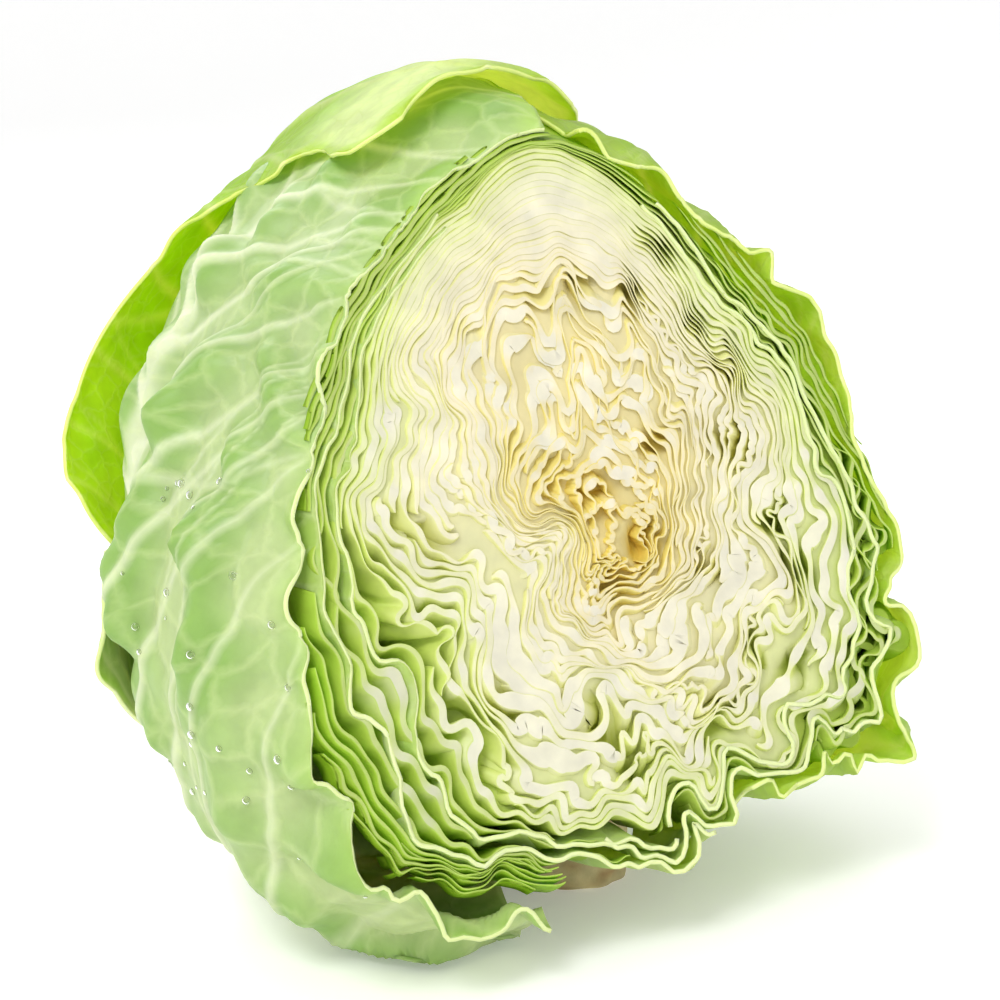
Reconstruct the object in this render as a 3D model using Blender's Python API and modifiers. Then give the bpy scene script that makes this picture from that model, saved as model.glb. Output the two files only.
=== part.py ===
"""The greater part of a cabbage head, cut flat in front of its stalk, standing on the stalk and its lower leaves.

Run with: blender --background --python part.py
Metres, +Z up. The cut face looks towards -Y and leans back. The origin is on the table, under the middle of the head.

Every leaf is one level of a single family of nested cups. A cup's level is 0 at the heart, 1 at the leaf that closes
the head, and over 1 for the leaves wrapped round it. Its mouth is a closed outline on the cut face.
"""

import math
import random

import bmesh
import bpy
import numpy as np

TURN = 2 * math.pi

# Where the stalk stands on the table
STALK_PLACE = np.array([0.0092, -0.0408, 0.0])
# The cut face: its origin as seen from the stalk, its lean, and how far in front of the widest section it lies
FACE_ORIGIN = STALK_PLACE + np.array([-0.007, -0.028, 0.098])
FACE_LEAN = math.radians(20)
CUT_OFFSET = 0.045
FACE_RIGHT = np.array([1.0, 0.0, 0.0])
FACE_UP = np.array([0.0, math.sin(FACE_LEAN), math.cos(FACE_LEAN)])
FACE_BACK = np.array([0.0, math.cos(FACE_LEAN), -math.sin(FACE_LEAN)])
# The head runs level behind the leaning cut
HEAD_BACK = np.array([0.0, 1.0, 0.0])

# Outline of the whole head on the cut face: radii every 22.5 degrees from the right, counter-clockwise
RIM_MIDDLE = np.array([0.0013, 0.0104])
RIM_RADII = np.array([77, 71.5, 71.5, 82, 90, 81.5, 77, 77.5, 84, 89, 96, 93, 89.5, 92, 103, 92]) / 1000
# Outline of the yellow heart, round a middle that lies higher
HEART_MIDDLE = np.array([-0.0010, 0.0225])
HEART_RADII = np.array([36, 34, 36, 42, 47, 45, 40, 36, 35, 35, 37, 40, 43, 45, 43, 39]) / 1000
HEART_LEVEL = 0.36
# The growing tip, where the innermost leaves close
TIP_MIDDLE = np.array([0.0030, -0.0080])
TIP_SQUEEZE = 0.85
# Depth of the head behind its widest section, and of the heart
HEAD_DEPTH = 0.103
HEART_DEPTH = 0.062
# Radial distance between the growing tip and the closing leaf, which turns millimetres into levels
LEVEL_SPAN = 0.093

# The leaves sag onto the table: lowest height of the closing leaf, how much higher each level inside it stays,
# how much lower each level outside it, and the lowest that any may be
SAG_HEIGHT = 0.0072
SAG_INSIDE = 0.085
SAG_OUTSIDE = 0.068
SAG_LEAST = 0.0008
SAG_SOFTNESS = 0.008

BLADE = 0.0011


def periodic(values, angle):
    """A smooth closed curve through values, which are evenly spaced round the circle."""
    count = len(values)
    place = (np.asarray(angle) % TURN) / TURN * count
    index = np.floor(place).astype(int)
    part = place - index
    before, here, after, beyond = (values[(index + k) % count] for k in (-1, 0, 1, 2))
    return 0.5 * (
        2 * here
        + (after - before) * part
        + (2 * before - 5 * here + 4 * after - beyond) * part**2
        + (3 * here - before - 3 * after + beyond) * part**3
    )


def swell(angle, middle, width):
    """1 at an angle in degrees, falling smoothly to 0 at width degrees from it."""
    away = np.abs((np.degrees(angle) - middle + 180) % 360 - 180) / width
    return np.where(away < 1, np.cos(np.minimum(away, 1) * math.pi / 2) ** 2, 0.0)


def sines(seed, count, slowest, fastest):
    """A seeded set of waves round the face: how often each repeats, its slant with depth, phase and height."""
    draw = random.Random(seed)
    rows = []
    for _ in range(count):
        repeats = draw.randint(slowest, fastest)
        rows.append((repeats, draw.uniform(-30, 30), draw.uniform(0, TURN), slowest / repeats))
    scale = math.sqrt(sum(row[3] ** 2 for row in rows))
    return [(repeats, slant, phase, height / scale) for repeats, slant, phase, height in rows]


def ripple(waves, angle, depth):
    return sum(
        height * np.sin(repeats * angle + slant * depth + phase) for repeats, slant, phase, height in waves
    )


# The crumple that all leaves share, so that they nest. It is least at the top, where leaves lie flat on each other.
CRUMPLE = sines(11, 7, 3, 9)
CRUMPLE_HEIGHT = 0.0022
CALM_ANGLE = 95
CALM_WIDTH = 75
CALM_SHARE = 0.75
# The frill of the outer leaves near the cut, with the angles, widths and shares of the places that it is found
FRILL = sines(17, 5, 13, 21)
FRILL_HEIGHT = 0.0026
FRILL_LEVEL = 0.80
FRILLY_PLACES = ((328, 62, 1.0), (222, 50, 0.6), (40, 60, 0.3))


def hump(value, low, high):
    """0 up to low, 1 halfway, and 0 again from high on."""
    return np.sin(np.clip((value - low) / (high - low), 0, 1) * math.pi)


# The wrapping leaves hang below the others at the lower left, where they lie on the table, and the outermost
# also at the back, where they steady the head. Each reaches its full hang over a few hundredths of a level.
HANG_HEIGHT = 0.020
HANG_ANGLE = 234
HANG_WIDTH = 62
HANG_LEVEL = 0.975
HANG_LEVELS = 0.04
HANG_WAYS = (-0.02, 0.60)
HANG_ROUNDNESS = 0.8
CORNER_SAG = 0.09
CORNER_REACH = 0.30
BELLY_HEIGHT = 0.009
BELLY_ANGLE = 288
BELLY_WIDTH = 65
BELLY_LEVEL = 1.035
BELLY_LEVELS = 0.03
BELLY_WAYS = (0.10, 0.95)


def hang(level, angle, way):
    corner = np.clip((level - HANG_LEVEL) / HANG_LEVELS, 0, 1) * swell(angle, HANG_ANGLE, HANG_WIDTH)
    belly = np.clip((level - BELLY_LEVEL) / BELLY_LEVELS, 0, 1) * swell(angle, BELLY_ANGLE, BELLY_WIDTH)
    corner = HANG_HEIGHT * corner * hump(way, *HANG_WAYS) ** HANG_ROUNDNESS
    return corner + BELLY_HEIGHT * belly * hump(way, *BELLY_WAYS)


def crumple(level, angle, way):
    """How far a leaf waves out from its cup."""
    near_cut = np.clip(1 - way, 0, 1) ** 3
    calm_top = 1 - CALM_SHARE * swell(angle, CALM_ANGLE, CALM_WIDTH)
    wave = CRUMPLE_HEIGHT * calm_top * ripple(CRUMPLE, angle, way)
    frilly = np.clip((level - FRILL_LEVEL) / (1 - FRILL_LEVEL), 0, 1)
    frilly = frilly * sum(share * swell(angle, middle, width) for middle, width, share in FRILLY_PLACES)
    return near_cut * (wave + FRILL_HEIGHT * frilly * ripple(FRILL, angle, way)) + hang(level, angle, way)


# Leaves stand apart at the lower left and lower right, and lie close at the upper right
SPREAD_PLACES = ((218, 62, 0.75), (328, 55, 0.40))


def spread_level(level, angle, side):
    power = 1 + side * sum(share * swell(angle, middle, width) for middle, width, share in SPREAD_PLACES)
    return np.where(level < 1, np.clip(level, 0, 1) ** power, level)


# How deep the middle of the heart lies, as a share of the heart's depth
TIP_DEPTH_SHARE = 0.35


def cup(level, angle, way):
    """The point of a cup at an angle round the face, and way from 0 at the cut to 1 at the back."""
    level, angle, way = np.broadcast_arrays(level, angle, way)
    side = np.clip(1 - way, 0, 1) ** 2
    spread = spread_level(level, angle, side)
    share = (spread - HEART_LEVEL) / (1 - HEART_LEVEL)
    inside = np.clip(share, 0, 1)
    squeeze = np.clip(spread / HEART_LEVEL, 0, 1) ** TIP_SQUEEZE

    def outline(middle, radii, depth):
        cut_cosine = CUT_OFFSET / depth
        cut_angle = math.acos(cut_cosine)
        swing = cut_angle + way * (math.pi - cut_angle)
        radius = periodic(radii, angle) * np.sin(swing) / math.sin(cut_angle)
        back = CUT_OFFSET - depth * np.cos(swing)
        across = np.stack([np.cos(angle), np.sin(angle)], -1)
        return middle + radius[..., None] * across, back, swing

    rim, rim_back, swing = outline(RIM_MIDDLE, RIM_RADII, HEAD_DEPTH)
    heart, heart_back, _ = outline(HEART_MIDDLE, HEART_RADII, HEART_DEPTH)
    place = heart + (rim - heart) * inside[..., None]
    back = heart_back + (rim_back - heart_back) * inside
    place = TIP_MIDDLE + (place - TIP_MIDDLE) * squeeze[..., None]
    back = back * (TIP_DEPTH_SHARE + (1 - TIP_DEPTH_SHARE) * squeeze)
    beyond = np.maximum(share - 1, 0) * (1 - HEART_LEVEL) * LEVEL_SPAN
    outward = np.stack([np.cos(angle), np.sin(angle)], -1) * np.sin(swing)[..., None]
    place = place + beyond[..., None] * outward
    back = back - beyond * np.cos(swing)
    return place, back


def to_world(place, back):
    point = (
        FACE_ORIGIN
        + place[..., 0:1] * FACE_RIGHT
        + place[..., 1:2] * FACE_UP
        + np.asarray(back)[..., None] * HEAD_BACK
    )
    return point


def sagged(point, level, angle, way):
    """Lifts what would lie below the table onto it, and keeps inner cups above outer ones. The lower left corner
    lies on the table itself."""
    level = level + CORNER_SAG * swell(angle, HANG_ANGLE, HANG_WIDTH) * np.clip(1 - way / CORNER_REACH, 0, 1)
    lowest = SAG_HEIGHT + SAG_INSIDE * np.maximum(1 - level, 0) - SAG_OUTSIDE * np.maximum(level - 1, 0)
    lowest = np.maximum(lowest, SAG_LEAST)
    height = point[..., 2]
    raised = lowest + SAG_SOFTNESS * np.logaddexp(0, (height - lowest) / SAG_SOFTNESS)
    point = point.copy()
    point[..., 2] = raised - SAG_SOFTNESS * math.log(2) * np.exp(-np.abs(height - lowest) / SAG_SOFTNESS)
    return point


def head_point(level, wave, angle, way):
    """A point of a leaf that waves out from its cup, as it comes to rest."""
    place, back = cup(level + wave / LEVEL_SPAN, angle, way)
    return sagged(to_world(place, back), level, angle, way)


MIDDLE = to_world(RIM_MIDDLE, CUT_OFFSET)
# Directions from the middle: down to the stalk, and the two across that
DOWN = (STALK_PLACE - MIDDLE) / np.linalg.norm(STALK_PLACE - MIDDLE)
NORTH = np.cross(FACE_RIGHT, DOWN) / np.linalg.norm(np.cross(FACE_RIGHT, DOWN))
EAST = np.cross(DOWN, NORTH)


def round_the_face(direction):
    """Angle and way on the closing leaf of a direction from the middle of the head."""
    up = direction[..., 2] / FACE_UP[2]
    back = direction[..., 1] - up * FACE_UP[1]
    right = direction[..., 0]
    angle = np.arctan2(up, right)
    cut_angle = math.acos(CUT_OFFSET / HEAD_DEPTH)
    widest = periodic(RIM_RADII, angle) / math.sin(cut_angle)
    swing = np.arctan2(np.hypot(right, up) / widest, -back / HEAD_DEPTH)
    return angle, (swing - cut_angle) / (math.pi - cut_angle)


def new_object(name, mesh_data, material, smooth_angle=40):
    """Turns a bmesh into one object of the head, shaded smooth."""
    mesh = bpy.data.meshes.new(name)
    bmesh.ops.recalc_face_normals(mesh_data, faces=mesh_data.faces)
    mesh_data.to_mesh(mesh)
    mesh_data.free()
    mesh.materials.append(material)
    mesh.shade_smooth()
    mesh.set_sharp_from_angle(angle=math.radians(smooth_angle))
    made = bpy.data.objects.new(name, mesh)
    head.objects.link(made)
    return made


def flesh(name, colour, roughness):
    material = bpy.data.materials.new(name)
    material.use_nodes = True
    shader = material.node_tree.nodes["Principled BSDF"]
    shader.inputs["Base Color"].default_value = (*colour, 1)
    shader.inputs["Roughness"].default_value = roughness
    shader.inputs["Metallic"].default_value = 0
    return material


def ringed_solid(name, rows, columns, place_row, material):
    """A ball whose rows are moved to where place_row puts them, from its first pole to its last."""
    ball = bmesh.new()
    bmesh.ops.create_uvsphere(ball, u_segments=columns, v_segments=rows - 1, radius=1)
    for vertex in ball.verts:
        row = round(math.acos(max(-1, min(1, vertex.co.z))) / math.pi * (rows - 1))
        vertex.co = place_row(row, math.atan2(vertex.co.y, vertex.co.x))
    bmesh.ops.triangulate(ball, faces=ball.faces)
    return new_object(name, ball, material, 25)


# How the tight leaves show on the cut: each has a flat cut edge, then a groove down to the next
def cut_rows(levels, edge, waves, wave_height, groove, gather):
    """Rows across the cut face, as functions of the angle that give the level and the depth below the cut."""
    step = levels[1] - levels[0]
    rows = []

    def row(level, shift, number, deep):
        def at(angle):
            own = wave_height(level, angle) * ripple(waves[number % len(waves)], angle, 0)
            wave = (own + crumple(level, angle, 0)) / LEVEL_SPAN
            return level + wave + shift + gather(level, angle, 0), deep(level, angle)

        return at

    for number, level in enumerate(levels):
        rows.append(row(level, -edge, number, lambda level, angle: 0.0))
        rows.append(row(level, edge, number, lambda level, angle: 0.0))
        if number + 1 < len(levels):
            rows.append(row(level + step / 2, 0, number, groove))
    return rows


def face_point(level, angle, deep):
    """A point on the cut face, or deep metres behind it."""
    place, back = cup(level, angle, np.zeros_like(np.asarray(angle, float)))
    return to_world(place, back + deep)


# Tight leaves of the head: levels of their cut edges, and the pocket that the heart sits in
TIGHT_LEVELS = np.linspace(0.41, 0.815, 9)
TIGHT_EDGE = 0.009
POCKET_LEVEL = 0.378
POCKET_MIDWAY = 0.19
POCKET_DEPTH = 0.0230
POCKET_WALL_DEPTH = 0.0172
POCKET_LIP_DEPTH = 0.004
TIGHT_COLUMNS = 66
TIGHT_WAVES = [sines(20 + number, 6, 7, 15) for number in range(4)]
BODY_ROWS = 8
# Behind the cut, their outside lies a little deeper than the loose leaves
BODY_INSET = 0.035
BODY_INSET_BY = 0.15
# At the top they reach further out, as no loose leaf lies over them there
TOP_GATHER = 0.125
GATHER_ANGLE = 94
GATHER_WIDTH = 29
GATHER_REACH = 0.35
# They ripple a little everywhere but on the outside, and more at the lower right and at the left:
# angle, width and height of each place
RIPPLE_HEIGHT = 0.0004
RIPPLE_PLACES = ((315, 100, 0.0009), (180, 70, 0.0004))
RIPPLE_FADE_LEVELS = 0.1
# The grooves between them are deeper at the lower left and at the right
GROOVE_DEPTH = 0.0045
GROOVE_PLACES = ((215, 70, 0.0040), (20, 40, 0.0020))


def tight_wave(level, angle):
    inner = min(1, (TIGHT_LEVELS[-1] - level) / RIPPLE_FADE_LEVELS)
    places = sum(height * swell(angle, middle, width) for middle, width, height in RIPPLE_PLACES)
    return inner * (RIPPLE_HEIGHT + places)


def top_gather(level, angle, way):
    share = (level - TIGHT_LEVELS[0]) / (TIGHT_LEVELS[-1] - TIGHT_LEVELS[0])
    return TOP_GATHER * share * swell(angle, GATHER_ANGLE, GATHER_WIDTH) * max(0, 1 - way / GATHER_REACH)


def no_gather(level, angle, way):
    return 0.0


def tight_groove(level, angle):
    return GROOVE_DEPTH + sum(depth * swell(angle, middle, width) for middle, width, depth in GROOVE_PLACES)


def build_tight_leaves():
    """The tight leaves as one body: cut edges and grooves in front, the smooth outside of the head behind."""
    front = cut_rows(TIGHT_LEVELS, TIGHT_EDGE, TIGHT_WAVES, tight_wave, tight_groove, top_gather)
    outer = TIGHT_LEVELS[-1] + TIGHT_EDGE
    pocket = [
        (0.0, POCKET_DEPTH),
        (POCKET_MIDWAY, POCKET_DEPTH),
        (POCKET_LEVEL, POCKET_WALL_DEPTH),
        (POCKET_LEVEL, POCKET_LIP_DEPTH),
    ]
    last = len(pocket) + len(front) + BODY_ROWS

    def place_row(row, angle):
        if row < len(pocket):
            level, deep = pocket[row]
            shift = crumple(level, angle, 0) / LEVEL_SPAN * min(1, level / POCKET_MIDWAY)
            return face_point(level + shift, angle, deep)
        if row < len(pocket) + len(front):
            level, deep = front[row - len(pocket)](angle)
            return face_point(level, angle, deep)
        way = min((row - len(pocket) - len(front) + 1) / (BODY_ROWS + 1), 1)
        level = outer - BODY_INSET * min(way / BODY_INSET_BY, 1) + top_gather(outer, angle, way)
        return head_point(level, crumple(outer, angle, way), angle, way)

    return ringed_solid("tight_leaves", last + 1, TIGHT_COLUMNS, place_row, PALE_FLESH)


# Heart leaves: crumpled yellow leaves in the pocket
HEART_LEVELS = np.linspace(0.075, 0.335, 5)
HEART_EDGE = 0.012
HEART_COLUMNS = 42
HEART_WAVES = [sines(40 + number, 5, 3, 8) for number in range(3)]
HEART_WAVE = 0.0012
HEART_GROOVE_DEPTH = 0.0055
HEART_DEEPER_ANGLE = 250
HEART_DEEPER_WIDTH = 120
HEART_DEEPER_BY = 0.0025
# Its outside goes straight back from the cut, then in to a flat floor: depths of those steps
HEART_RIM_DEPTH = 0.006
HEART_SIDE_DEPTH = 0.0150
HEART_FLOOR = 0.0215
HEART_FLOOR_LEVEL = 0.171
HEART_CENTRE_DEPTH = 0.008
HEART_LEAST_LEVEL = 0.02


def heart_wave(level, angle):
    return HEART_WAVE * level / HEART_LEVEL


def heart_groove(level, angle):
    return HEART_GROOVE_DEPTH + HEART_DEEPER_BY * swell(angle, HEART_DEEPER_ANGLE, HEART_DEEPER_WIDTH)


def build_heart():
    front = cut_rows(HEART_LEVELS, HEART_EDGE, HEART_WAVES, heart_wave, heart_groove, no_gather)
    outer = HEART_LEVELS[-1] + HEART_EDGE
    below = [
        (outer, HEART_RIM_DEPTH),
        (outer, HEART_SIDE_DEPTH),
        (HEART_FLOOR_LEVEL, HEART_FLOOR),
        (0.0, HEART_FLOOR),
    ]
    last = len(front) + len(below)

    def place_row(row, angle):
        if row == 0:
            return face_point(0.0, angle, HEART_CENTRE_DEPTH)
        if row <= len(front):
            level, deep = front[row - 1](angle)
            return face_point(max(level, HEART_LEAST_LEVEL), angle, deep)
        level, deep = below[row - len(front) - 1]
        shift = crumple(level, angle, 0) / LEVEL_SPAN * min(1, level / POCKET_MIDWAY)
        if level == outer:
            shift += heart_wave(level, angle) * ripple(HEART_WAVES[1], angle, 0) / LEVEL_SPAN
        return face_point(level + shift, angle, deep)

    return ringed_solid("heart_leaves", last + 1, HEART_COLUMNS, place_row, YELLOW_FLESH)


# Loose leaves grow from the stalk and close round the head. Azimuths turn from +X through +Y, in degrees.
ROOT_RISE = 12
WIDEST_AT = 0.60
# The tip is cut a little short of where its rounding would close, so that it isn't a point
TIP_AT = 1.03
TIP_ROUNDNESS = 2.8
# Columns lie closer together towards the midrib
COLUMN_CROWDING = 1.15
# How wide a leaf's root is, as a share of its widest part
CLASPING_ROOT = 0.88
BROAD_ROOT = 0.54
NARROW_ROOT = 0.15


def leaf_half_width(along, widest, root):
    """Half the leaf's angular width: narrower at its root, widest past the middle, rounded at its tip."""
    foot = root + (1 - root) * np.sin(np.clip(along / WIDEST_AT, 0, 1) * math.pi / 2)
    tip = np.clip((along - WIDEST_AT) / (TIP_AT - WIDEST_AT), 0, 1)
    return widest * foot * np.sqrt(1 - tip**TIP_ROUNDNESS)


def build_leaf(name, azimuth, level, end, widest, grid, material, root=CLASPING_ROOT, lift=None, trim=None):
    """A leaf from its root to end degrees up from the stalk, and widest degrees to each side of its midrib.
    grid is its number of steps across and along. lift gives how far it stands off its cup, in metres, and trim
    the share of its width that is left."""
    sheet = bmesh.new()
    bmesh.ops.create_grid(sheet, x_segments=grid[0], y_segments=grid[1], size=1)
    across = np.array([vertex.co.x for vertex in sheet.verts])
    across = np.sign(across) * np.abs(across) ** COLUMN_CROWDING
    along = np.array([vertex.co.y for vertex in sheet.verts]) / 2 + 0.5
    turn = math.radians(azimuth)
    rise = np.radians(ROOT_RISE + (end - ROOT_RISE) * along)
    outward = math.cos(turn) * EAST + math.sin(turn) * NORTH
    sideways = -math.sin(turn) * EAST + math.cos(turn) * NORTH
    midrib = np.sin(rise)[:, None] * outward + np.cos(rise)[:, None] * DOWN
    lean = np.radians(across * leaf_half_width(along, widest, root))[:, None]
    if trim is not None:
        lean = lean * trim(across, along)[:, None]
    direction = np.cos(lean) * midrib + np.sin(lean) * sideways
    angle, way = round_the_face(direction)
    wave = crumple(level, angle, way)
    if lift is not None:
        wave = wave + lift(across, along, angle, way)
    points = head_point(level, wave, angle, way)
    for vertex, point in zip(sheet.verts, points):
        vertex.co = point
    bmesh.ops.triangulate(sheet, faces=sheet.faces)
    everything = [*sheet.verts, *sheet.edges, *sheet.faces]
    bmesh.ops.bisect_plane(
        sheet, geom=everything, dist=1e-6, plane_co=FACE_ORIGIN, plane_no=-FACE_BACK, clear_outer=True
    )
    bmesh.ops.remove_doubles(sheet, verts=sheet.verts, dist=0.0001)
    bmesh.ops.triangulate(sheet, faces=sheet.faces)
    leaf = new_object(name, sheet, material)
    thicken = leaf.modifiers.new("blade", "SOLIDIFY")
    thicken.thickness = BLADE
    thicken.offset = 0
    return leaf


# The stalk was cut straight across below the lowest leaves
STALK_RADIUS = 0.0165
STALK_TAPER = 0.93
STALK_HEIGHT = 0.0250
STALK_EDGE = 0.0012
STALK_SIDES = 28


def build_stalk():
    """The cut stalk under the head, which carries it: a short, slightly tapered cylinder with a worn edge."""
    stub = bmesh.new()
    bmesh.ops.create_cone(
        stub,
        cap_ends=True,
        segments=STALK_SIDES,
        radius1=STALK_RADIUS,
        radius2=STALK_RADIUS * STALK_TAPER,
        depth=STALK_HEIGHT,
    )
    bmesh.ops.translate(stub, verts=stub.verts, vec=(*STALK_PLACE[:2], STALK_HEIGHT / 2))
    stalk = new_object("stalk", stub, STALK_FLESH)
    worn = stalk.modifiers.new("worn edge", "BEVEL")
    worn.width = STALK_EDGE
    worn.segments = 1
    worn.limit_method = "ANGLE"
    return stalk


def smooth(value, low, high):
    """0 up to low, 1 from high on, smooth between."""
    part = np.clip((value - low) / (high - low), 0, 1)
    return part * part * (3 - 2 * part)


MARGIN_CURVE = 1.6


def at_front_margin(across, start):
    """0 inside the leaf, rising from start to 1 at the margin that is nearer the cut."""
    return np.clip((across - start) / (1 - start), 0, 1) ** MARGIN_CURVE


# Every wrapper's midrib is raised, and thins out towards the tip
RIB_HEIGHT = 0.0012
BACK_RIB_HEIGHT = 0.0016
RIB_REACH = 0.09
RIB_THINNING = 0.8


def rib(across, along, height):
    return height * np.clip(1 - np.abs(across) / RIB_REACH, 0, 1) * (1 - RIB_THINNING * along)


def left_leaf(across, along, angle, way):
    return rib(across, along, RIB_HEIGHT)


# The right leaf's cut margin stands away from the leaves inside it, with a small torn tab high up
RIGHT_STAND_OFF = 0.0115
RIGHT_STAND_ANGLE = 33
RIGHT_STAND_WIDTH = 56
RIGHT_STAND_WAY = 0.40
MARGIN_WAVE_SHARE = 0.12
RIGHT_MARGIN_WAVES = 44
TAB_HEIGHT = 0.005
TAB_ANGLE = 50
TAB_WIDTH = 6
TAB_WAY = 0.12


def right_leaf(across, along, angle, way):
    wavy = 1 + MARGIN_WAVE_SHARE * np.sin(along * RIGHT_MARGIN_WAVES)
    near_cut = np.clip(1 - way / RIGHT_STAND_WAY, 0, 1)
    off = RIGHT_STAND_OFF * swell(angle, RIGHT_STAND_ANGLE, RIGHT_STAND_WIDTH) * near_cut * wavy
    tab = TAB_HEIGHT * swell(angle, TAB_ANGLE, TAB_WIDTH) * np.clip(1 - way / TAB_WAY, 0, 1)
    return off + tab + rib(across, along, RIB_HEIGHT)


# The back left leaf's front margin flares out as a flap, above which the leaf is narrower, and its tip rolls
# forward over the top of the head. Places are shares of the leaf's width and length.
FLAP_HEIGHT = 0.0140
FLAP_START = 0.30
FLAP_OPENS = (0.40, 0.50)
FLAP_CLOSES = (0.56, 0.80)
FLAP_WAVES = 34
NARROWS_BY = 0.50
NARROWS_AT = (0.46, 0.68)
WIDENS_AT = (0.87, 0.99)
ROLL_HEIGHT = 0.008
ROLL_START = 0.84
ROLL_CURVE = 1.5
ROLL_LEAN = (0.7, 0.5)


def back_left_leaf(across, along, angle, way):
    opens = np.clip((along - FLAP_OPENS[0]) / (FLAP_OPENS[1] - FLAP_OPENS[0]), 0, 1)
    closes = np.clip((FLAP_CLOSES[1] - along) / (FLAP_CLOSES[1] - FLAP_CLOSES[0]), 0, 1)
    wavy = 1 + MARGIN_WAVE_SHARE * np.sin(along * FLAP_WAVES)
    flare = FLAP_HEIGHT * at_front_margin(across, FLAP_START) * opens * closes * wavy
    tip = np.clip((along - ROLL_START) / (1 - ROLL_START), 0, 1) ** ROLL_CURVE
    roll = ROLL_HEIGHT * tip * (ROLL_LEAN[0] + ROLL_LEAN[1] * across)
    return flare + roll + rib(across, along, RIB_HEIGHT)


def back_left_trim(across, along):
    return 1 - NARROWS_BY * (across > 0) * smooth(along, *NARROWS_AT) * (1 - smooth(along, *WIDENS_AT))


def back_leaf(across, along, angle, way):
    return rib(across, along, BACK_RIB_HEIGHT)


# The lowest leaf is short. Its margin waves a little off the others, and its front side stays narrow near the table.
LOW_STAND_OFF = 0.0035
LOW_FREE_FROM = 0.3
LOW_TIP_FROM = 0.6
LOW_TIP_LENGTH = 0.4
LOW_WAVE_SHARE = 0.4
LOW_WAVES = 18
LOW_NARROWS_BY = 0.80
LOW_WIDENS_AT = (0.48, 0.90)


def low_leaf(across, along, angle, way):
    free = np.maximum(
        at_front_margin(across, LOW_FREE_FROM), np.clip((along - LOW_TIP_FROM) / LOW_TIP_LENGTH, 0, 1)
    )
    return LOW_STAND_OFF * free * (1 + LOW_WAVE_SHARE * np.sin(along * LOW_WAVES))


def low_trim(across, along):
    return 1 - LOW_NARROWS_BY * (across > 0) * (1 - smooth(along, *LOW_WIDENS_AT))


# The loose leaves: name, azimuth, level, end, half width and grid
LOOSE_LEAVES = (
    ("loose_leaf_1", 335, 0.858, 147, 84, (10, 28)),
    ("loose_leaf_2", 196, 0.892, 150, 82, (10, 26)),
    ("loose_leaf_3", 318, 0.926, 143, 84, (10, 28)),
    ("loose_leaf_4", 214, 0.960, 147, 78, (10, 26)),
)


def build_loose_leaves():
    for leaf in LOOSE_LEAVES:
        build_leaf(*leaf, FRESH_GREEN)


def build_wrapper_leaves():
    """The five outer leaves: each leaf's name, azimuth, level, end, half width, grid, flesh, root, lift and trim."""
    for leaf in (
        ("wrapper_leaf_right", 6, 0.994, 171, 76, (14, 24), BRIGHT_GREEN, CLASPING_ROOT, right_leaf, None),
        ("wrapper_leaf_left", 162, 1.029, 190, 81, (16, 22), PALE_GREEN, BROAD_ROOT, left_leaf, None),
        ("wrapper_leaf_back_left", 108, 1.059, 186, 47, (14, 20), BRIGHT_GREEN, NARROW_ROOT, back_left_leaf,
         back_left_trim),
        ("wrapper_leaf_back", 54, 1.090, 150, 48, (12, 16), PALE_GREEN, NARROW_ROOT, back_leaf, None),
        ("wrapper_leaf_low", 139, 1.090, 86, 30, (8, 12), PALE_GREEN, NARROW_ROOT, low_leaf, low_trim),
    ):
        build_leaf(*leaf)


for old in list(bpy.data.objects):
    bpy.data.objects.remove(old, do_unlink=True)
head = bpy.data.collections.new("cabbage head")
bpy.context.scene.collection.children.link(head)

YELLOW_FLESH = flesh("yellow heart flesh", (0.84, 0.72, 0.30), 0.45)
PALE_FLESH = flesh("pale inner flesh", (0.80, 0.84, 0.52), 0.45)
FRESH_GREEN = flesh("fresh green blade", (0.42, 0.63, 0.16), 0.40)
PALE_GREEN = flesh("pale waxy green blade", (0.52, 0.70, 0.34), 0.45)
BRIGHT_GREEN = flesh("bright green blade", (0.38, 0.62, 0.04), 0.40)
STALK_FLESH = flesh("cut stalk", (0.74, 0.66, 0.42), 0.60)

build_stalk()
build_heart()
build_tight_leaves()
build_loose_leaves()
build_wrapper_leaves()
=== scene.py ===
"""A cabbage head that a knife has cut flat in front of its stalk, on a pale table.

Every leaf is one level of a single family of nested cups: 0 at the growing tip, 1 at the leaf that closes
the head, and more for the outermost. Lengths are in metres unless a name says otherwise.
"""

import math
import random

import bmesh
import bpy
import numpy as np
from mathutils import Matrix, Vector


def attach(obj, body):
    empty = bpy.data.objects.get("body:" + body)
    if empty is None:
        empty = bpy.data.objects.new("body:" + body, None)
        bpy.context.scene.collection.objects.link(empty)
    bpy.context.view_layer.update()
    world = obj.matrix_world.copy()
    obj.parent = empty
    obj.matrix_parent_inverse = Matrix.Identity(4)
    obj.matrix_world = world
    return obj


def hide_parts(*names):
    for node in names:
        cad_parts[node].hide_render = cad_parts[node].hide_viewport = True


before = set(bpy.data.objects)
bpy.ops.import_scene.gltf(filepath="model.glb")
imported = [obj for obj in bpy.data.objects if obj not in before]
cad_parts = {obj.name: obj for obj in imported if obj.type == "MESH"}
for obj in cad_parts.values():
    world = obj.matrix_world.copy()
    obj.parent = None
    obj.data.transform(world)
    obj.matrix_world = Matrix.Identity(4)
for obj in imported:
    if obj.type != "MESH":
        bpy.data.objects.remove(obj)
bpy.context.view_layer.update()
scene = bpy.context.scene

# Studio: a wide pale table under a white sky, a soft lamp high on the left, a weak one on the right and one
# behind. The camera stands to the left of the cut face, a little above it.
FACE_ORIGIN = np.array([0.0022, -0.0688, 0.098])
CAMERA_AZIMUTH = math.radians(-31)
CAMERA_ELEVATION = math.radians(14)
CAMERA_DISTANCE = 0.58
CAMERA_LENS_MM = 85
SENSOR_MM = 36
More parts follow.
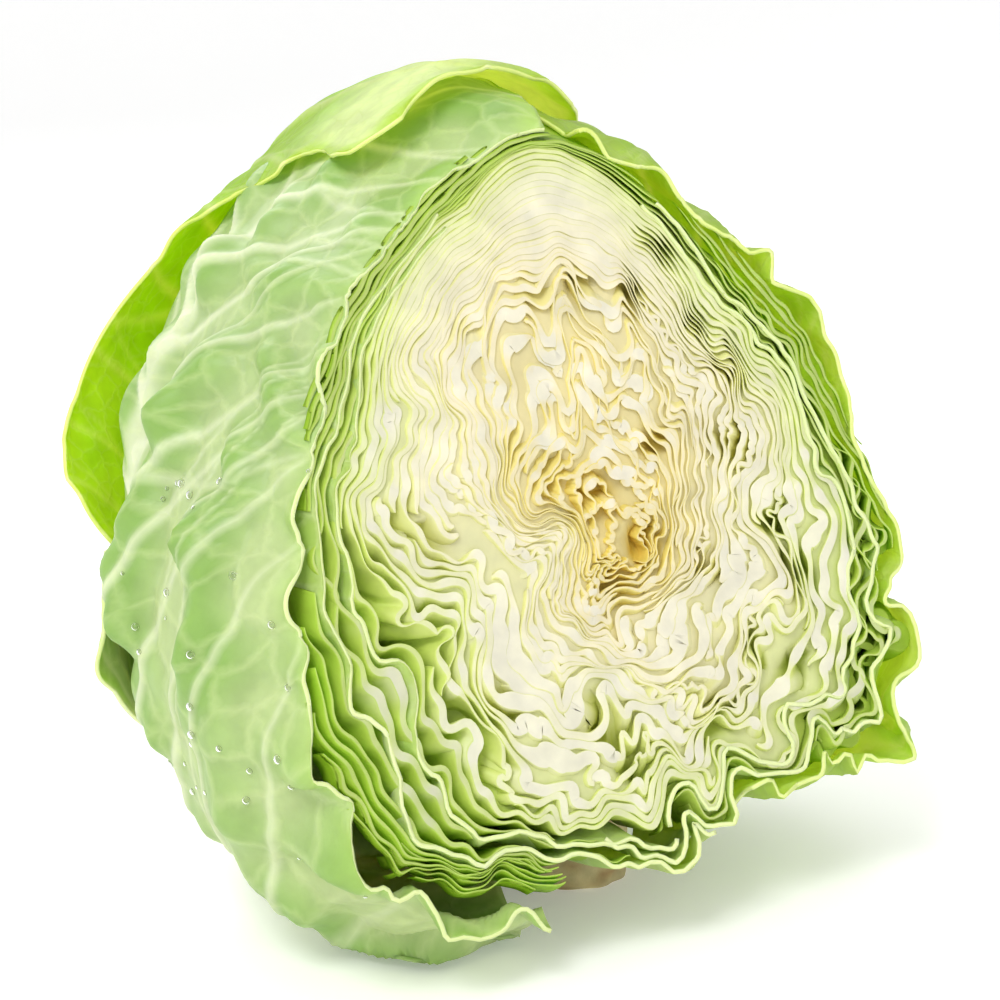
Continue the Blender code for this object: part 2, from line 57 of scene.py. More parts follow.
# Where the origin of the cut face appears in the picture, from its middle, as parts of its width
FACE_IN_PICTURE = (0.110, -0.040)
SKY_STRENGTH = 0.71
LAMP_TARGET = Vector((0, 0, 0.08))
# Each lamp: name, place, size and watts
LAMPS = (
    ("key lamp", (-0.80, -0.50, 1.20), 0.55, 10.5),
    ("fill lamp", (1.0, -0.7, 0.8), 0.9, 1.5),
    ("back lamp", (0.1, 1.1, 1.0), 0.9, 7.0),
)

camera = bpy.data.objects.new("camera", bpy.data.cameras.new("camera"))
scene.collection.objects.link(camera)
camera.data.lens = CAMERA_LENS_MM
camera.data.sensor_width = SENSOR_MM
camera.data.clip_start = 0.01
towards = Vector((
    math.sin(CAMERA_AZIMUTH) * math.cos(CAMERA_ELEVATION),
    -math.cos(CAMERA_AZIMUTH) * math.cos(CAMERA_ELEVATION),
    math.sin(CAMERA_ELEVATION),
))
rightwards = Vector((math.cos(CAMERA_AZIMUTH), math.sin(CAMERA_AZIMUTH), 0))
upwards = towards.cross(rightwards)
picture_width = CAMERA_DISTANCE * SENSOR_MM / CAMERA_LENS_MM
target = Vector(FACE_ORIGIN) - picture_width * (
    FACE_IN_PICTURE[0] * rightwards + FACE_IN_PICTURE[1] * upwards
)
camera.location = target + CAMERA_DISTANCE * towards
camera.rotation_euler = (-towards).to_track_quat("-Z", "Y").to_euler()
scene.camera = camera

world = bpy.data.worlds.new("white sky")
scene.world = world
world.use_nodes = True
sky = world.node_tree.nodes["Background"]
sky.inputs["Color"].default_value = (1.0, 1.0, 1.0, 1)
sky.inputs["Strength"].default_value = SKY_STRENGTH
scene.view_settings.view_transform = "Standard"

for name, place, size, watts in LAMPS:
    lamp = bpy.data.objects.new(name, bpy.data.lights.new(name, "AREA"))
    lamp.data.size = size
    lamp.data.energy = watts
    lamp.location = place
    lamp.rotation_euler = (LAMP_TARGET - lamp.location).to_track_quat("-Z", "Y").to_euler()
    scene.collection.objects.link(lamp)

# The table sweeps up all round into a pale wall, so that no horizon shows
TABLE_RADIUS = 1.7
SWEEP_RADIUS = 0.9
SWEEP_STEPS = 12
SWEEP_COLUMNS = 72
TABLE_DROP = 0.0002
TABLE_GLOW = 0.18
table_profile = [(0.0, 0.0), (0.6, 0.0), (1.2, 0.0)]
for step in range(SWEEP_STEPS + 1):
    bend = step / SWEEP_STEPS * math.pi / 2
    rise = SWEEP_RADIUS * (1 - math.cos(bend))
    table_profile.append((TABLE_RADIUS + SWEEP_RADIUS * math.sin(bend), rise))
table_mesh = bmesh.new()
profile_points = [
    table_mesh.verts.new((radius, 0, height - TABLE_DROP)) for radius, height in table_profile
]
profile_edges = [table_mesh.edges.new(pair) for pair in zip(profile_points, profile_points[1:])]
bmesh.ops.spin(
    table_mesh, geom=profile_points + profile_edges, cent=(0, 0, 0), axis=(0, 0, 1),
    angle=2 * math.pi, steps=SWEEP_COLUMNS, use_merge=True,
)
bmesh.ops.remove_doubles(table_mesh, verts=table_mesh.verts, dist=1e-6)
bmesh.ops.recalc_face_normals(table_mesh, faces=table_mesh.faces)
table_data = bpy.data.meshes.new("table")
table_mesh.to_mesh(table_data)
table_mesh.free()
table_data.shade_smooth()
table = bpy.data.objects.new("table", table_data)
scene.collection.objects.link(table)
table_paint = bpy.data.materials.new("pale table")
table_paint.use_nodes = True
table_shader = table_paint.node_tree.nodes["Principled BSDF"]
table_shader.inputs["Roughness"].default_value = 0.55
table_shader.inputs["Emission Color"].default_value = (1, 1, 1, 1)
table_shader.inputs["Emission Strength"].default_value = TABLE_GLOW
table_grain = table_paint.node_tree.nodes.new("ShaderNodeTexNoise")
table_grain.inputs["Scale"].default_value = 3.0
table_tone = table_paint.node_tree.nodes.new("ShaderNodeValToRGB")
table_tone.color_ramp.elements[0].color = (0.93, 0.93, 0.925, 1)
table_tone.color_ramp.elements[1].color = (0.955, 0.955, 0.95, 1)
table_paint.node_tree.links.new(table_grain.outputs["Fac"], table_tone.inputs["Fac"])
table_paint.node_tree.links.new(table_tone.outputs["Color"], table_shader.inputs["Base Color"])
table_data.materials.append(table_paint)

# Tight leaves. The crisp pale leaves between the heart and the green ones, packed so closely that they
# fold. The knife cut them across, so each shows as a pale edge with a groove beside it, thicker where it
# cut a rib.
TURN = 2 * math.pi
STALK_PLACE = np.array([0.0092, -0.0408, 0.0])
FACE_LEAN = math.radians(20)
CUT_OFFSET = 0.045
FACE_RIGHT = np.array([1.0, 0.0, 0.0])
FACE_UP = np.array([0.0, math.sin(FACE_LEAN), math.cos(FACE_LEAN)])
FACE_BACK = np.array([0.0, math.cos(FACE_LEAN), -math.sin(FACE_LEAN)])
HEAD_BACK = np.array([0.0, 1.0, 0.0])
# Outlines of the head and of its heart on the cut: a radius every 22.5 degrees from the right,
# counter-clockwise
RIM_MIDDLE = np.array([0.0013, 0.0104])
RIM_RADII = np.array([77, 71.5, 71.5, 82, 90, 81.5, 77, 77.5, 84, 89, 96, 93, 89.5, 92, 103, 92]) / 1000
HEART_MIDDLE = np.array([-0.0010, 0.0225])
HEART_RADII = np.array([36, 34, 36, 42, 47, 45, 40, 36, 35, 35, 37, 40, 43, 45, 43, 39]) / 1000
HEART_LEVEL = 0.36
TIP_MIDDLE = np.array([0.0030, -0.0080])
TIP_SQUEEZE = 0.85
TIP_DEPTH = 0.35
HEAD_DEPTH = 0.103
HEART_DEPTH = 0.062
LEVEL_SPAN = 0.093
# Where leaves stand apart more near the cut: how much, and angle and width in degrees
STAND_APART = ((0.75, 218, 62), (0.40, 328, 55))


def periodic(values, angle):
    """A smooth closed curve through values, which are evenly spaced round the circle."""
    count = len(values)
    place = (np.asarray(angle) % TURN) / TURN * count
    index = np.floor(place).astype(int)
    part = place - index
    before, here, after, beyond = (values[(index + k) % count] for k in (-1, 0, 1, 2))
    return 0.5 * (
        2 * here
        + (after - before) * part
        + (2 * before - 5 * here + 4 * after - beyond) * part**2
        + (3 * here - before - 3 * after + beyond) * part**3
    )


def swell(angle, middle, width):
    """1 at an angle in degrees, falling smoothly to 0 at width degrees from it."""
    away = np.abs((np.degrees(angle) - middle + 180) % 360 - 180) / width
    return np.where(away < 1, np.cos(np.minimum(away, 1) * math.pi / 2) ** 2, 0.0)


def swells(angle, rows):
    """The sum of several swells: height, middle and width of each."""
    return sum(height * swell(angle, middle, width) for height, middle, width in rows)


def smooth(value, low, high):
    """0 up to low, 1 from high on, smooth between."""
    part = np.clip((value - low) / (high - low), 0, 1)
    return part * part * (3 - 2 * part)


def spread_level(level, angle, side):
    power = 1 + side * swells(angle, STAND_APART)
    return np.where(level < 1, np.clip(level, 0, 1) ** power, level)


def cup(level, angle, way=None, deep=None):
    """The point of a cup at an angle round the face, either way from 0 at the cut to 1 at the back, or deep
    metres behind the cut."""
    level, angle, way, deep = np.broadcast_arrays(
        level, angle, 0.0 if way is None else way, np.nan if deep is None else deep
    )
    swings = []
    for depth in (HEAD_DEPTH, HEART_DEPTH):
        cut_angle = math.acos(CUT_OFFSET / depth)
        by_way = cut_angle + way * (math.pi - cut_angle)
        by_depth = np.arccos(np.clip((CUT_OFFSET - deep) / depth, -1, 1))
        swings.append(np.where(np.isnan(deep), by_way, by_depth))
    rim_cut = math.acos(CUT_OFFSET / HEAD_DEPTH)
    rim_way = (swings[0] - rim_cut) / (math.pi - rim_cut)
    spread = spread_level(level, angle, np.clip(1 - rim_way, 0, 1) ** 2)
    share = (spread - HEART_LEVEL) / (1 - HEART_LEVEL)
    inside = np.clip(share, 0, 1)
    squeeze = np.clip(spread / HEART_LEVEL, 0, 1) ** TIP_SQUEEZE
    across = np.stack([np.cos(angle), np.sin(angle)], -1)
    outlines = []
    for middle, radii, depth, swing in (
        (RIM_MIDDLE, RIM_RADII, HEAD_DEPTH, swings[0]),
        (HEART_MIDDLE, HEART_RADII, HEART_DEPTH, swings[1]),
    ):
        cut_angle = math.acos(CUT_OFFSET / depth)
        radius = periodic(radii, angle) * np.sin(swing) / math.sin(cut_angle)
        outlines.append((middle + radius[..., None] * across, CUT_OFFSET - depth * np.cos(swing)))
    (rim, rim_back), (heart, heart_back) = outlines
    place = heart + (rim - heart) * inside[..., None]
    back = heart_back + (rim_back - heart_back) * inside
    place = TIP_MIDDLE + (place - TIP_MIDDLE) * squeeze[..., None]
    squeezed_back = back * (TIP_DEPTH + (1 - TIP_DEPTH) * squeeze)
    back = np.where(np.isnan(deep), squeezed_back, np.nan_to_num(deep))
    beyond = np.maximum(share - 1, 0) * (1 - HEART_LEVEL) * LEVEL_SPAN
    place = place + (beyond * np.sin(swings[0]))[..., None] * across
    back = back - np.where(np.isnan(deep), beyond * np.cos(swings[0]), 0)
    return place, back


def to_world(place, back):
    return (
        FACE_ORIGIN
        + place[..., 0:1] * FACE_RIGHT
        + place[..., 1:2] * FACE_UP
        + np.asarray(back)[..., None] * HEAD_BACK
    )


# The folds that packing has pressed into the leaves: eddies, as in marbled paper, that carry neighbours
# along together. Each row: seed, how many, their size and how far they carry, in mm.
EDDY_SETS = ((3, 9, 46, 4.6), (8, 11, 20, 3.2), (15, 12, 9.5, 1.6))
EDDY_STEPS = 7
EDDY_REACH_MM = 42
EDDY_SLANT = 0.05
# The folds fade up the top and out towards the rim, and grow down the face, between these places on it
FACE_MIDDLE_MM = (1.3, 10.4)
FACE_SQUASH = 0.96
CALM_TOP_MM = (38, 66)
CALM_RIM_MM = (60, 82)
LIVELY_MM = (-20, 45)


def eddies(seed, count, size):
    draw = random.Random(seed)
    rows = []
    for _ in range(count):
        turn = draw.uniform(0, TURN)
        pitch = TURN / (size * draw.uniform(0.75, 1.3))
        phase = draw.uniform(0, TURN)
        slide = draw.uniform(-EDDY_SLANT, EDDY_SLANT)
        rows.append((math.cos(turn) * pitch, math.sin(turn) * pitch, pitch, phase, slide))
    return rows


EDDIES = [
    (eddies(seed, count, size), carry * math.sqrt(2 / count)) for seed, count, size, carry in EDDY_SETS
]


def folded(place, back):
    """Where the folds carry a point of the cut face, or one behind it."""
    spot = place * 1000
    back_mm = np.asarray(back) * 1000
    fade = np.exp(-((back_mm / EDDY_REACH_MM) ** 2))
    for _ in range(EDDY_STEPS):
        x, y = spot[..., 0], spot[..., 1]
        reach = np.hypot(x - FACE_MIDDLE_MM[0], (y - FACE_MIDDLE_MM[1]) * FACE_SQUASH)
        calm_top = 1 - 0.80 * smooth(y, *CALM_TOP_MM)
        lower = 0.55 + 0.65 * smooth(-y, *LIVELY_MM)
        lower_right = 0.75 * smooth(-y, 0, 40) * smooth(x, -20, 25)
        outside = 1 - 0.72 * smooth(reach, *CALM_RIM_MM) * (1 - lower_right)
        strength = fade * calm_top * lower * outside / EDDY_STEPS
        step = np.zeros_like(spot)
        for rows, carry in EDDIES:
            for across, up, pitch, phase, slide in rows:
                wave = np.cos(across * x + up * y + phase + slide * back_mm) * (strength * carry / pitch)
                step[..., 0] += wave * up
                step[..., 1] -= wave * across
        spot = spot + step
    return spot / 1000


def mesh_of(name, points, faces, tints, extra=None):
    """A mesh from rows of points, with a colour for each and, on whole leaves, its place on the blade."""
    points = np.reshape(points, (-1, 3))
    data = bpy.data.meshes.new(name)
    data.vertices.add(len(points))
    data.vertices.foreach_set("co", np.ascontiguousarray(points, dtype=np.float32).ravel())
    corners = np.concatenate([np.asarray(face, np.int32).ravel() for face in faces])
    sizes = np.concatenate([np.full(len(face), np.asarray(face).shape[1]) for face in faces])
    data.loops.add(len(corners))
    data.loops.foreach_set("vertex_index", corners)
    data.polygons.add(len(sizes))
    starts = np.concatenate([[0], np.cumsum(sizes)[:-1]])
    data.polygons.foreach_set("loop_start", starts.astype(np.int32))
    data.update(calc_edges=True)
    data.validate()
    layer = data.attributes.new("tint", "FLOAT_COLOR", "POINT")
    rgba = np.ones((len(points), 4), np.float32)
    rgba[:, :3] = np.reshape(tints, (-1, 3))
    layer.data.foreach_set("color", rgba.ravel())
    if extra is not None:
        spots = data.attributes.new("blade_mm", "FLOAT_VECTOR", "POINT")
        spots.data.foreach_set("vector", np.ascontiguousarray(extra, dtype=np.float32).ravel())
    data.shade_smooth()
    made = bpy.data.objects.new(name, data)
    scene.collection.objects.link(made)
    return made


def band_faces(rows, columns, start=0, wrap_rows=False, wrap_columns=False):
    """Quads between rows of points that follow each other."""
    row = np.arange(rows if wrap_rows else rows - 1)[:, None]
    column = np.arange(columns if wrap_columns else columns - 1)[None, :]
    next_row, next_column = (row + 1) % rows, (column + 1) % columns
    quads = np.stack([
        row * columns + column,
        row * columns + next_column,
        next_row * columns + next_column,
        next_row * columns + column,
    ], -1)
    return quads.reshape(-1, 4) + start


def linear(colour):
    """A colour as the eye reads it, turned into light."""
    colour = np.asarray(colour, float)
    return np.where(colour <= 0.04045, colour / 12.92, ((colour + 0.055) / 1.055) ** 2.4)


def blend(first, second, part):
    return first + (second - first) * np.asarray(part)[..., None]


# How cut edges, sides and the slits between leaves turn from cream through yellow to green, heart outwards.
# The darker, more saturated slit colours are partly the leaves' own colour and partly painted shade and
# painted glow of light inside the slits.
SHADE_LEVELS = [0.0, 0.20, 0.40, 0.62, 0.80, 0.92, 1.02]
EDGE_SHADES = linear([
    (0.99, 0.94, 0.72), (0.99, 0.95, 0.78), (0.995, 0.965, 0.86), (0.99, 0.97, 0.85),
    (0.96, 0.97, 0.76), (0.91, 0.95, 0.64), (0.87, 0.94, 0.55),
])
SIDE_SHADES = linear([
    (0.99, 0.91, 0.46), (0.985, 0.935, 0.58), (0.97, 0.945, 0.68), (0.95, 0.955, 0.66),
    (0.90, 0.95, 0.54), (0.84, 0.93, 0.42), (0.78, 0.91, 0.32),
])
PAINTED_SLIT_SHADE_AND_GLOW = linear([
    (0.99, 0.87, 0.38), (0.98, 0.90, 0.48), (0.96, 0.92, 0.55), (0.92, 0.935, 0.50),
    (0.84, 0.92, 0.42), (0.78, 0.90, 0.30), (0.72, 0.88, 0.22),
])
RIB_SHADE = linear((0.99, 0.975, 0.91))


def shade(table_of_shades, level):
    return np.stack([np.interp(level, SHADE_LEVELS, table_of_shades[:, k]) for k in range(3)], -1)


# Room that ribs take up: level, angle, width in degrees, and how far they push the leaves there apart, in mm
ROOMS = (
    (0.480, 264, 62, 3.2), (0.560, 302, 40, 2.6), (0.600, 231, 34, 2.4), (0.665, 270, 44, 2.2),
    (0.745, 313, 34, 2.2), (0.800, 350, 62, 2.4), (0.800, 40, 34, 1.6), (0.430, 22, 34, 1.6),
    (0.390, 142, 38, 2.2), (0.560, 150, 34, 1.4), (0.250, 122, 44, 3.0), (0.215, 30, 60, 2.2),
)
ROOM_LEVELS = 0.055
ROOM_SHARE = 1.2
# Hollows between the folds: place on the cut face, size, and how much deeper than the grooves, in mm
HOLLOWS = (
    (32, 70, 4.2, 6), (27, 73, 3.5, 4), (44, 41, 4.5, 6), (47, 36, 4.0, 7), (41, 20, 4.5, 7),
    (20, 60, 4.5, 5), (5, 62, 4.0, 4), (-8, 61, 4.0, 4), (11, -3, 5.0, 6), (-1, 10, 6.0, 5),
    (-12, 16, 4.5, 5), (1, -10, 5.5, 4), (-23, 24, 4.0, 4), (18, 22, 3.5, 4), (28, -10, 4.0, 4),
    (-65, 4, 5.5, 10), (-54, 12, 4.0, 6), (-47, 5, 4.5, 6), (-8, -45, 5.0, 6), (-12, -41, 4.0, 6),
    (21, -47, 5.0, 6), (46, -40, 4.0, 5), (-3, -53, 4.5, 5), (55, -15, 4.5, 7), (50, -2, 4.0, 6),
    (-50, -18, 5.0, 7), (-40, -34, 5.0, 6), (36, -32, 3.5, 4), (-30, 55, 3.5, 4), (37, 50, 4.0, 5),
)
# Where the leaves are pressed so firmly that their flesh runs together: place on the cut and size, in mm
FIRM_PLACES = (
    (2, -25, 15), (36, -15, 11), (-50, 30, 13), (12, 82, 20), (-22, 52, 9), (42, 8, 9), (-30, -28, 9),
    (-38, 62, 12), (14, 38, 8), (22, -62, 10),
)


def nearness(place, x, y, size):
    """1 at a place on the cut face in mm, falling to 0 round it."""
    return np.exp(-(((place[..., 0] * 1000 - x) ** 2 + (place[..., 1] * 1000 - y) ** 2) / size**2))


def firmness(place):
    firm = 0
    for row in FIRM_PLACES:
        firm = np.maximum(firm, nearness(place, *row))
    return firm


def roomy(level, angle):
    """A level as the rooms push it aside."""
    shift = 0
    for at, middle, width, push in ROOMS:
        off = (level - at) / ROOM_LEVELS
        shove = push / 1000 / LEVEL_SPAN * ROOM_SHARE * swell(angle, middle, width)
        shift = shift + shove * off * np.exp(-off * off / 2)
    return level + shift


# Near the cut, to this depth, leaves are gathered at the top and at the lower left
GATHER_DEPTH = 0.05
TOP_GATHER = 0.125
LOWER_GATHER = 0.58
GATHERED_TO = 0.985
TIGHT_LEVELS = np.linspace(0.372, 0.838, 18)


def top_gather(level, angle, back):
    """At the top the tight leaves reach out to the wrappers, as no loose leaf lies over them there."""
    share = np.clip((level - TIGHT_LEVELS[0]) / (TIGHT_LEVELS[-1] - TIGHT_LEVELS[0]), 0, 1)
    pressed = np.clip((1 - level) / (1 - TIGHT_LEVELS[-1]), 0, 1)
    reach = np.maximum(swell(angle, 94, 29), 0.92 * swell(angle, 122, 30))
    return TOP_GATHER * share * pressed * reach * np.clip(1 - back / GATHER_DEPTH, 0, 1)


def lower_gather(level, angle, back):
    """At the lower left the outer leaves draw together towards the stalk."""
    near = swell(angle, 247, 32) * np.clip(1 - back / GATHER_DEPTH, 0, 1)
    return LOWER_GATHER * (GATHERED_TO - level) * smooth(level, 0.60, 0.86) * near


def hollowness(place):
    """1 in the middle of a hollow, 0 away from it, and how much deeper it goes there, in mm."""
    inside, deeper = 0, 0
    for *where, depth in HOLLOWS:
        near = nearness(place, *where)
        inside = np.maximum(inside, near)
        deeper = np.maximum(deeper, near * depth)
    return inside, deeper


# Depth of the grooves: all round, less where calm, more at the lower right and in the fan at the left
GROOVE_MM = 0.95
CALM_GROOVE_MM = 0.40
LOWER_GROOVE_MM = 0.5
FAN_GROOVE_MM = 12.0


def groove_floor(level, angle):
    """Depth of the grooves between the leaves: least where leaves are pressed flat together."""
    upper_left = 0.85 * swell(angle, 150, 60) * (1 - smooth(level, 0.66, 0.78))
    calm = np.maximum(swell(angle, 96, 62), upper_left)
    deep = GROOVE_MM - CALM_GROOVE_MM * calm
    deep = deep + LOWER_GROOVE_MM * swell(angle, 300, 80) * smooth(level, 0.50, 0.70)
    deep = deep + FAN_GROOVE_MM * smooth(level, 0.74, 0.81) * swell(angle, 200, 60)
    return (deep + hollowness(slice_point(level, angle, 0.0))[1]) / 1000


FINGER_MIDDLE_MM = (-2.0, 46.0)
FINGER_SIZE_MM = (24.0, 19.0)
FINGER_HEIGHT_MM = 8.5
FINGER_PITCHES_MM = (16.5, 9.3)


def fingered(place):
    """The leaves in the upper heart grew too long for their room, and hang down in narrow upright folds."""
    x, y = place[..., 0] * 1000, place[..., 1] * 1000
    off = ((x - FINGER_MIDDLE_MM[0]) / FINGER_SIZE_MM[0]) ** 2
    off = off + ((y - FINGER_MIDDLE_MM[1]) / FINGER_SIZE_MM[1]) ** 2
    waves = np.sin(TURN * x / FINGER_PITCHES_MM[0] + 0.02 * y)
    waves = waves + 0.45 * np.sin(TURN * x / FINGER_PITCHES_MM[1] + 2.0)
    place = place.copy()
    place[..., 1] += FINGER_HEIGHT_MM / 1000 * np.exp(-off) * waves
    return place


def slice_point(level, angle, deep):
    """A point of a tight leaf, deep metres behind the cut, in face coordinates."""
    pushed = roomy(level, angle) + top_gather(level, angle, deep)
    pushed = pushed + lower_gather(pushed, angle, deep)
    place, _ = cup(pushed, angle, deep=deep)
    return folded(fingered(place), deep)


# Rows over a blade from deep on its outer side, over its cut edge, to deep on its inner side: which side,
# how far in from that side, and how deep behind the cut, in mm. Skin shows as a thin line round the flesh.
SIDE_DEPTHS_MM = (0.9, 2.4, 5.0, 9.0, 15.0)
HALF_ROWS = (
    *((0.0, deep) for deep in reversed(SIDE_DEPTHS_MM)),
    (0.0, 0.25),
    (0.07, 0.04),
    (0.26, 0.0),
    (0.50, 0.0),
)
EDGE_ROWS = [(1, *row) for row in HALF_ROWS] + [(-1, *row) for row in reversed(HALF_ROWS)]
LEAST_BLADE_MM = 0.35
MOST_BLADE_MM = 8.0
# From this thickness on an edge starts to look like a rib, and at the second it is one
RIB_MM = (1.3, 3.0)
TAPER_DEGREES = 6
FIRM_SHARE = 0.26
FIRM_TO_LEVEL = 0.86
HOLLOW_THINNING = 0.75
# A blade is no thicker than this many times the radius that it bends to, and bends are evened out
MOST_OF_BEND = 1.9
LEAST_BEND = 0.05
EVENING = np.hanning(11) / np.hanning(11).sum()
# How far the knife left edges behind the cut, in mm: height, and waves from leaf to leaf and round the face
PROUD_WAVES = ((0.16, 23, 5), (0.10, 40, 13))


def evened(values):
    return np.convolve(np.pad(values, len(EVENING) // 2, mode="edge"), EVENING, mode="valid")


def cut_blade(
    level, first, last, spacing, share, ruffle, step_mm=0.50, radius_mm=62, reach=1.0, short_mm=0.0
):
    """One leaf that the knife cut, from angle first to last in degrees: points, faces and colours. spacing is
    the levels from leaf to leaf at an angle, and share how much of that the leaf fills. ruffle gives mm that
    it waves aside, at an angle and a depth. reach is the part of the usual depth that the leaf goes back from
    the cut, and short_mm how far behind the cut it ends."""
    count = max(24, int(math.radians(last - first) * radius_mm / step_mm))
    angle = np.radians(np.linspace(first, last, count))
    level_here = level(angle)
    half_step = spacing(angle) / 2

    def sideways(place):
        """The direction across the blade at each place along it, and how sharply it bends there, per mm."""
        run = np.gradient(place, axis=0)
        length = np.maximum(np.linalg.norm(run, axis=1), 1e-9)
        run = run / length[:, None]
        bend = np.linalg.norm(np.gradient(run, axis=0), axis=1) / (length * 1000)
        return np.stack([run[:, 1], -run[:, 0]], -1), bend

    layers = {}
    for deep in sorted({row[2] for row in EDGE_ROWS}):
        place = slice_point(level_here, angle, (deep * (reach if deep > 1 else 1) + short_mm) / 1000)
        place = place + sideways(place)[0] * (ruffle(angle, deep) / 1000)[:, None]
        layers[deep] = (place, *sideways(place))
    middle, across, bend = layers[0.0]
    outer = slice_point(level_here + half_step, angle, 0.0)
    inner = slice_point(level_here - half_step, angle, 0.0)
    apart = np.abs(((outer - inner) * across).sum(-1)) * 1000
    from_end = np.minimum(angle - angle[0], angle[-1] - angle)
    taper = np.clip(from_end / math.radians(TAPER_DEGREES), 0, 1) ** 0.5
    firm = FIRM_SHARE * firmness(middle) * (short_mm == 0) * (level_here < FIRM_TO_LEVEL)
    thinned = 1 - HOLLOW_THINNING * hollowness(middle)[0]
    thick = apart * (share(angle) + firm) * thinned * (0.2 + 0.8 * taper)
    thick = evened(np.minimum(thick, MOST_OF_BEND / np.maximum(evened(bend), LEAST_BEND)))
    thick = np.clip(thick, LEAST_BLADE_MM, MOST_BLADE_MM)
    rib = smooth(thick, *RIB_MM)
    proud = sum(
        height * (1 + np.sin(by_level * level_here * TURN + by_angle * angle))
        for height, by_level, by_angle in PROUD_WAVES
    )
    proud = proud * (1 - 0.6 * swell(angle, 92, 64))
    points, tints = [], []
    edge = blend(shade(EDGE_SHADES, level_here), RIB_SHADE, rib)
    skin = shade(SIDE_SHADES, level_here)
    # the slit colour is partly the leaf's own colour and partly painted shade and glow of the slits
    slit_shade_and_glow = shade(PAINTED_SLIT_SHADE_AND_GLOW, level_here)
    # ends set back from the cut lie in shade, so their fronts get painted shade: a mix of slit and skin
    # colour
    if short_mm > 2:
        edge = blend(slit_shade_and_glow, skin, 0.5)
    for side, inset, deep in EDGE_ROWS:
        place, normal, _ = layers[deep]
        out = np.maximum(thick / 2 - inset, 0.12 * thick / 2) * (1.0 - 0.30 * smooth(deep, 1, 12))
        depth = deep * (reach if deep > 1 else 1) + proud + short_mm
        points.append(to_world(place + normal * (side * out / 1000)[:, None], depth / 1000))
        if deep < 0.2:
            tints.append(blend(skin, edge, smooth(inset, 0.0, 0.26)))
        else:
            flank = blend(skin, edge, rib * 0.4)
            # deeper down its sides a blade turns to the slit colour: painted shade and glow that grow with
            # depth
            tints.append(blend(flank, slit_shade_and_glow, smooth(deep, 0.3, 5.0)))
    rows = len(EDGE_ROWS)
    faces = [
        band_faces(rows, count, wrap_rows=True),
        np.arange(rows)[None, :] * count,
        np.arange(rows)[None, ::-1] * count + count - 1,
    ]
    return np.array(points).reshape(-1, 3), faces, np.array(tints).reshape(-1, 3)


def joined(name, blades):
    """Several blades as one piece."""
    points, faces, tints, start = [], [], [], 0
    for blade_points, blade_faces, blade_tints in blades:
        points.append(blade_points)
        tints.append(blade_tints)
        faces.extend(face + start for face in blade_faces)
        start += len(blade_points)
    return mesh_of(name, np.concatenate(points), faces, np.concatenate(tints))


def flesh_material(
    name, roughness=0.38, subsurface=0.0, mottle=0.10, grain_mm=1.6, net_mm=0.0, net_strength=0.0,
    pale_rim=0.0, through=0.0,
):
    """Crisp wet leaf flesh: the piece's own tint, mottled and finely grained, with a net of small veins where
    it has the leaf's own coordinates. through is the share of light that a thin blade lets through."""
    material = bpy.data.materials.new(name)
    material.use_nodes = True
    tree = material.node_tree
    shader = tree.nodes["Principled BSDF"]

    def feed(node, inputs):
        """Sets each input to a value, or links it to another node's output."""
        for key, value in inputs.items():
            if isinstance(value, bpy.types.NodeSocket):
                tree.links.new(value, node.inputs[key])
            else:
                node.inputs[key].default_value = value

    def add(kind, inputs, **settings):
        node = tree.nodes.new("ShaderNode" + kind)
        for key, value in settings.items():
            setattr(node, key, value)
        feed(node, inputs)
        return node.outputs

    tint = add("Attribute", {}, attribute_name="tint")["Color"]
    place = add("NewGeometry", {})["Position"]
    cloud = add("TexNoise", {"Scale": 140, "Detail": 4, "Vector": place})["Fac"]
    tone = add("MapRange", {
        "Value": cloud, "From Min": 0.3, "From Max": 0.7, "To Min": 1 - mottle, "To Max": 1 + mottle * 0.5,
    })["Result"]
    colour = add("VectorMath", {0: tint, "Scale": tone}, operation="SCALE")["Vector"]
    height = add("TexNoise", {"Scale": 1000 / grain_mm, "Detail": 3, "Vector": place})["Fac"]
    if net_mm:
        blade = add("Attribute", {}, attribute_name="blade_mm")["Vector"]
        wobble = add("TexNoise", {"Scale": 0.35, "Vector": blade})["Color"]
        bent = add("VectorMath", {0: wobble, 1: (3, 3, 0), 2: blade}, operation="MULTIPLY_ADD")["Vector"]
        from_vein = add(
            "TexVoronoi", {"Scale": 1 / net_mm, "Vector": bent},
            feature="DISTANCE_TO_EDGE", voronoi_dimensions="2D",
        )["Distance"]
        line = add("MapRange", {
            "Value": from_vein, "From Min": 0.0, "From Max": 0.14, "To Min": 1.0, "To Max": 0.0,
        })["Result"]
        weight = add("Math", {0: line, 1: net_strength}, operation="MULTIPLY")["Value"]
        paler = (*linear((0.90, 0.95, 0.70)), 1)
        colour = add("Mix", {"Factor": weight, "A": colour, "B": paler}, data_type="RGBA")["Result"]
        height = add("Math", {0: line, 1: 1.6, 2: height}, operation="MULTIPLY_ADD")["Value"]
    if pale_rim:
        rim = (*linear((0.93, 0.95, 0.72)), 1)
        colour = add("Mix", {"Factor": pale_rim, "A": colour, "B": rim}, data_type="RGBA")["Result"]
    bump = add("Bump", {"Strength": 0.35, "Distance": 0.00025, "Height": height})["Normal"]
    feed(shader, {
        "Base Color": colour, "Normal": bump, "Roughness": roughness, "IOR": 1.42,
        "Subsurface Weight": subsurface, "Subsurface Radius": (1.0, 0.9, 0.35), "Subsurface Scale": 0.004,
    })
    if through:
        # light comes through greener than it is reflected
        greener = add(
            "Mix", {"Factor": 1.0, "A": colour, "B": (1.0, 1.0, 0.50, 1)},
            data_type="RGBA", blend_type="MULTIPLY",
        )["Result"]
        glow = add("BsdfTranslucent", {"Color": greener})["BSDF"]
        both = add("MixShader", {"Fac": through, 1: shader.outputs["BSDF"], 2: glow})["Shader"]
        feed(tree.nodes["Material Output"], {"Surface": both})
    return material


tight_flesh = flesh_material("crisp inner flesh", through=0.30)
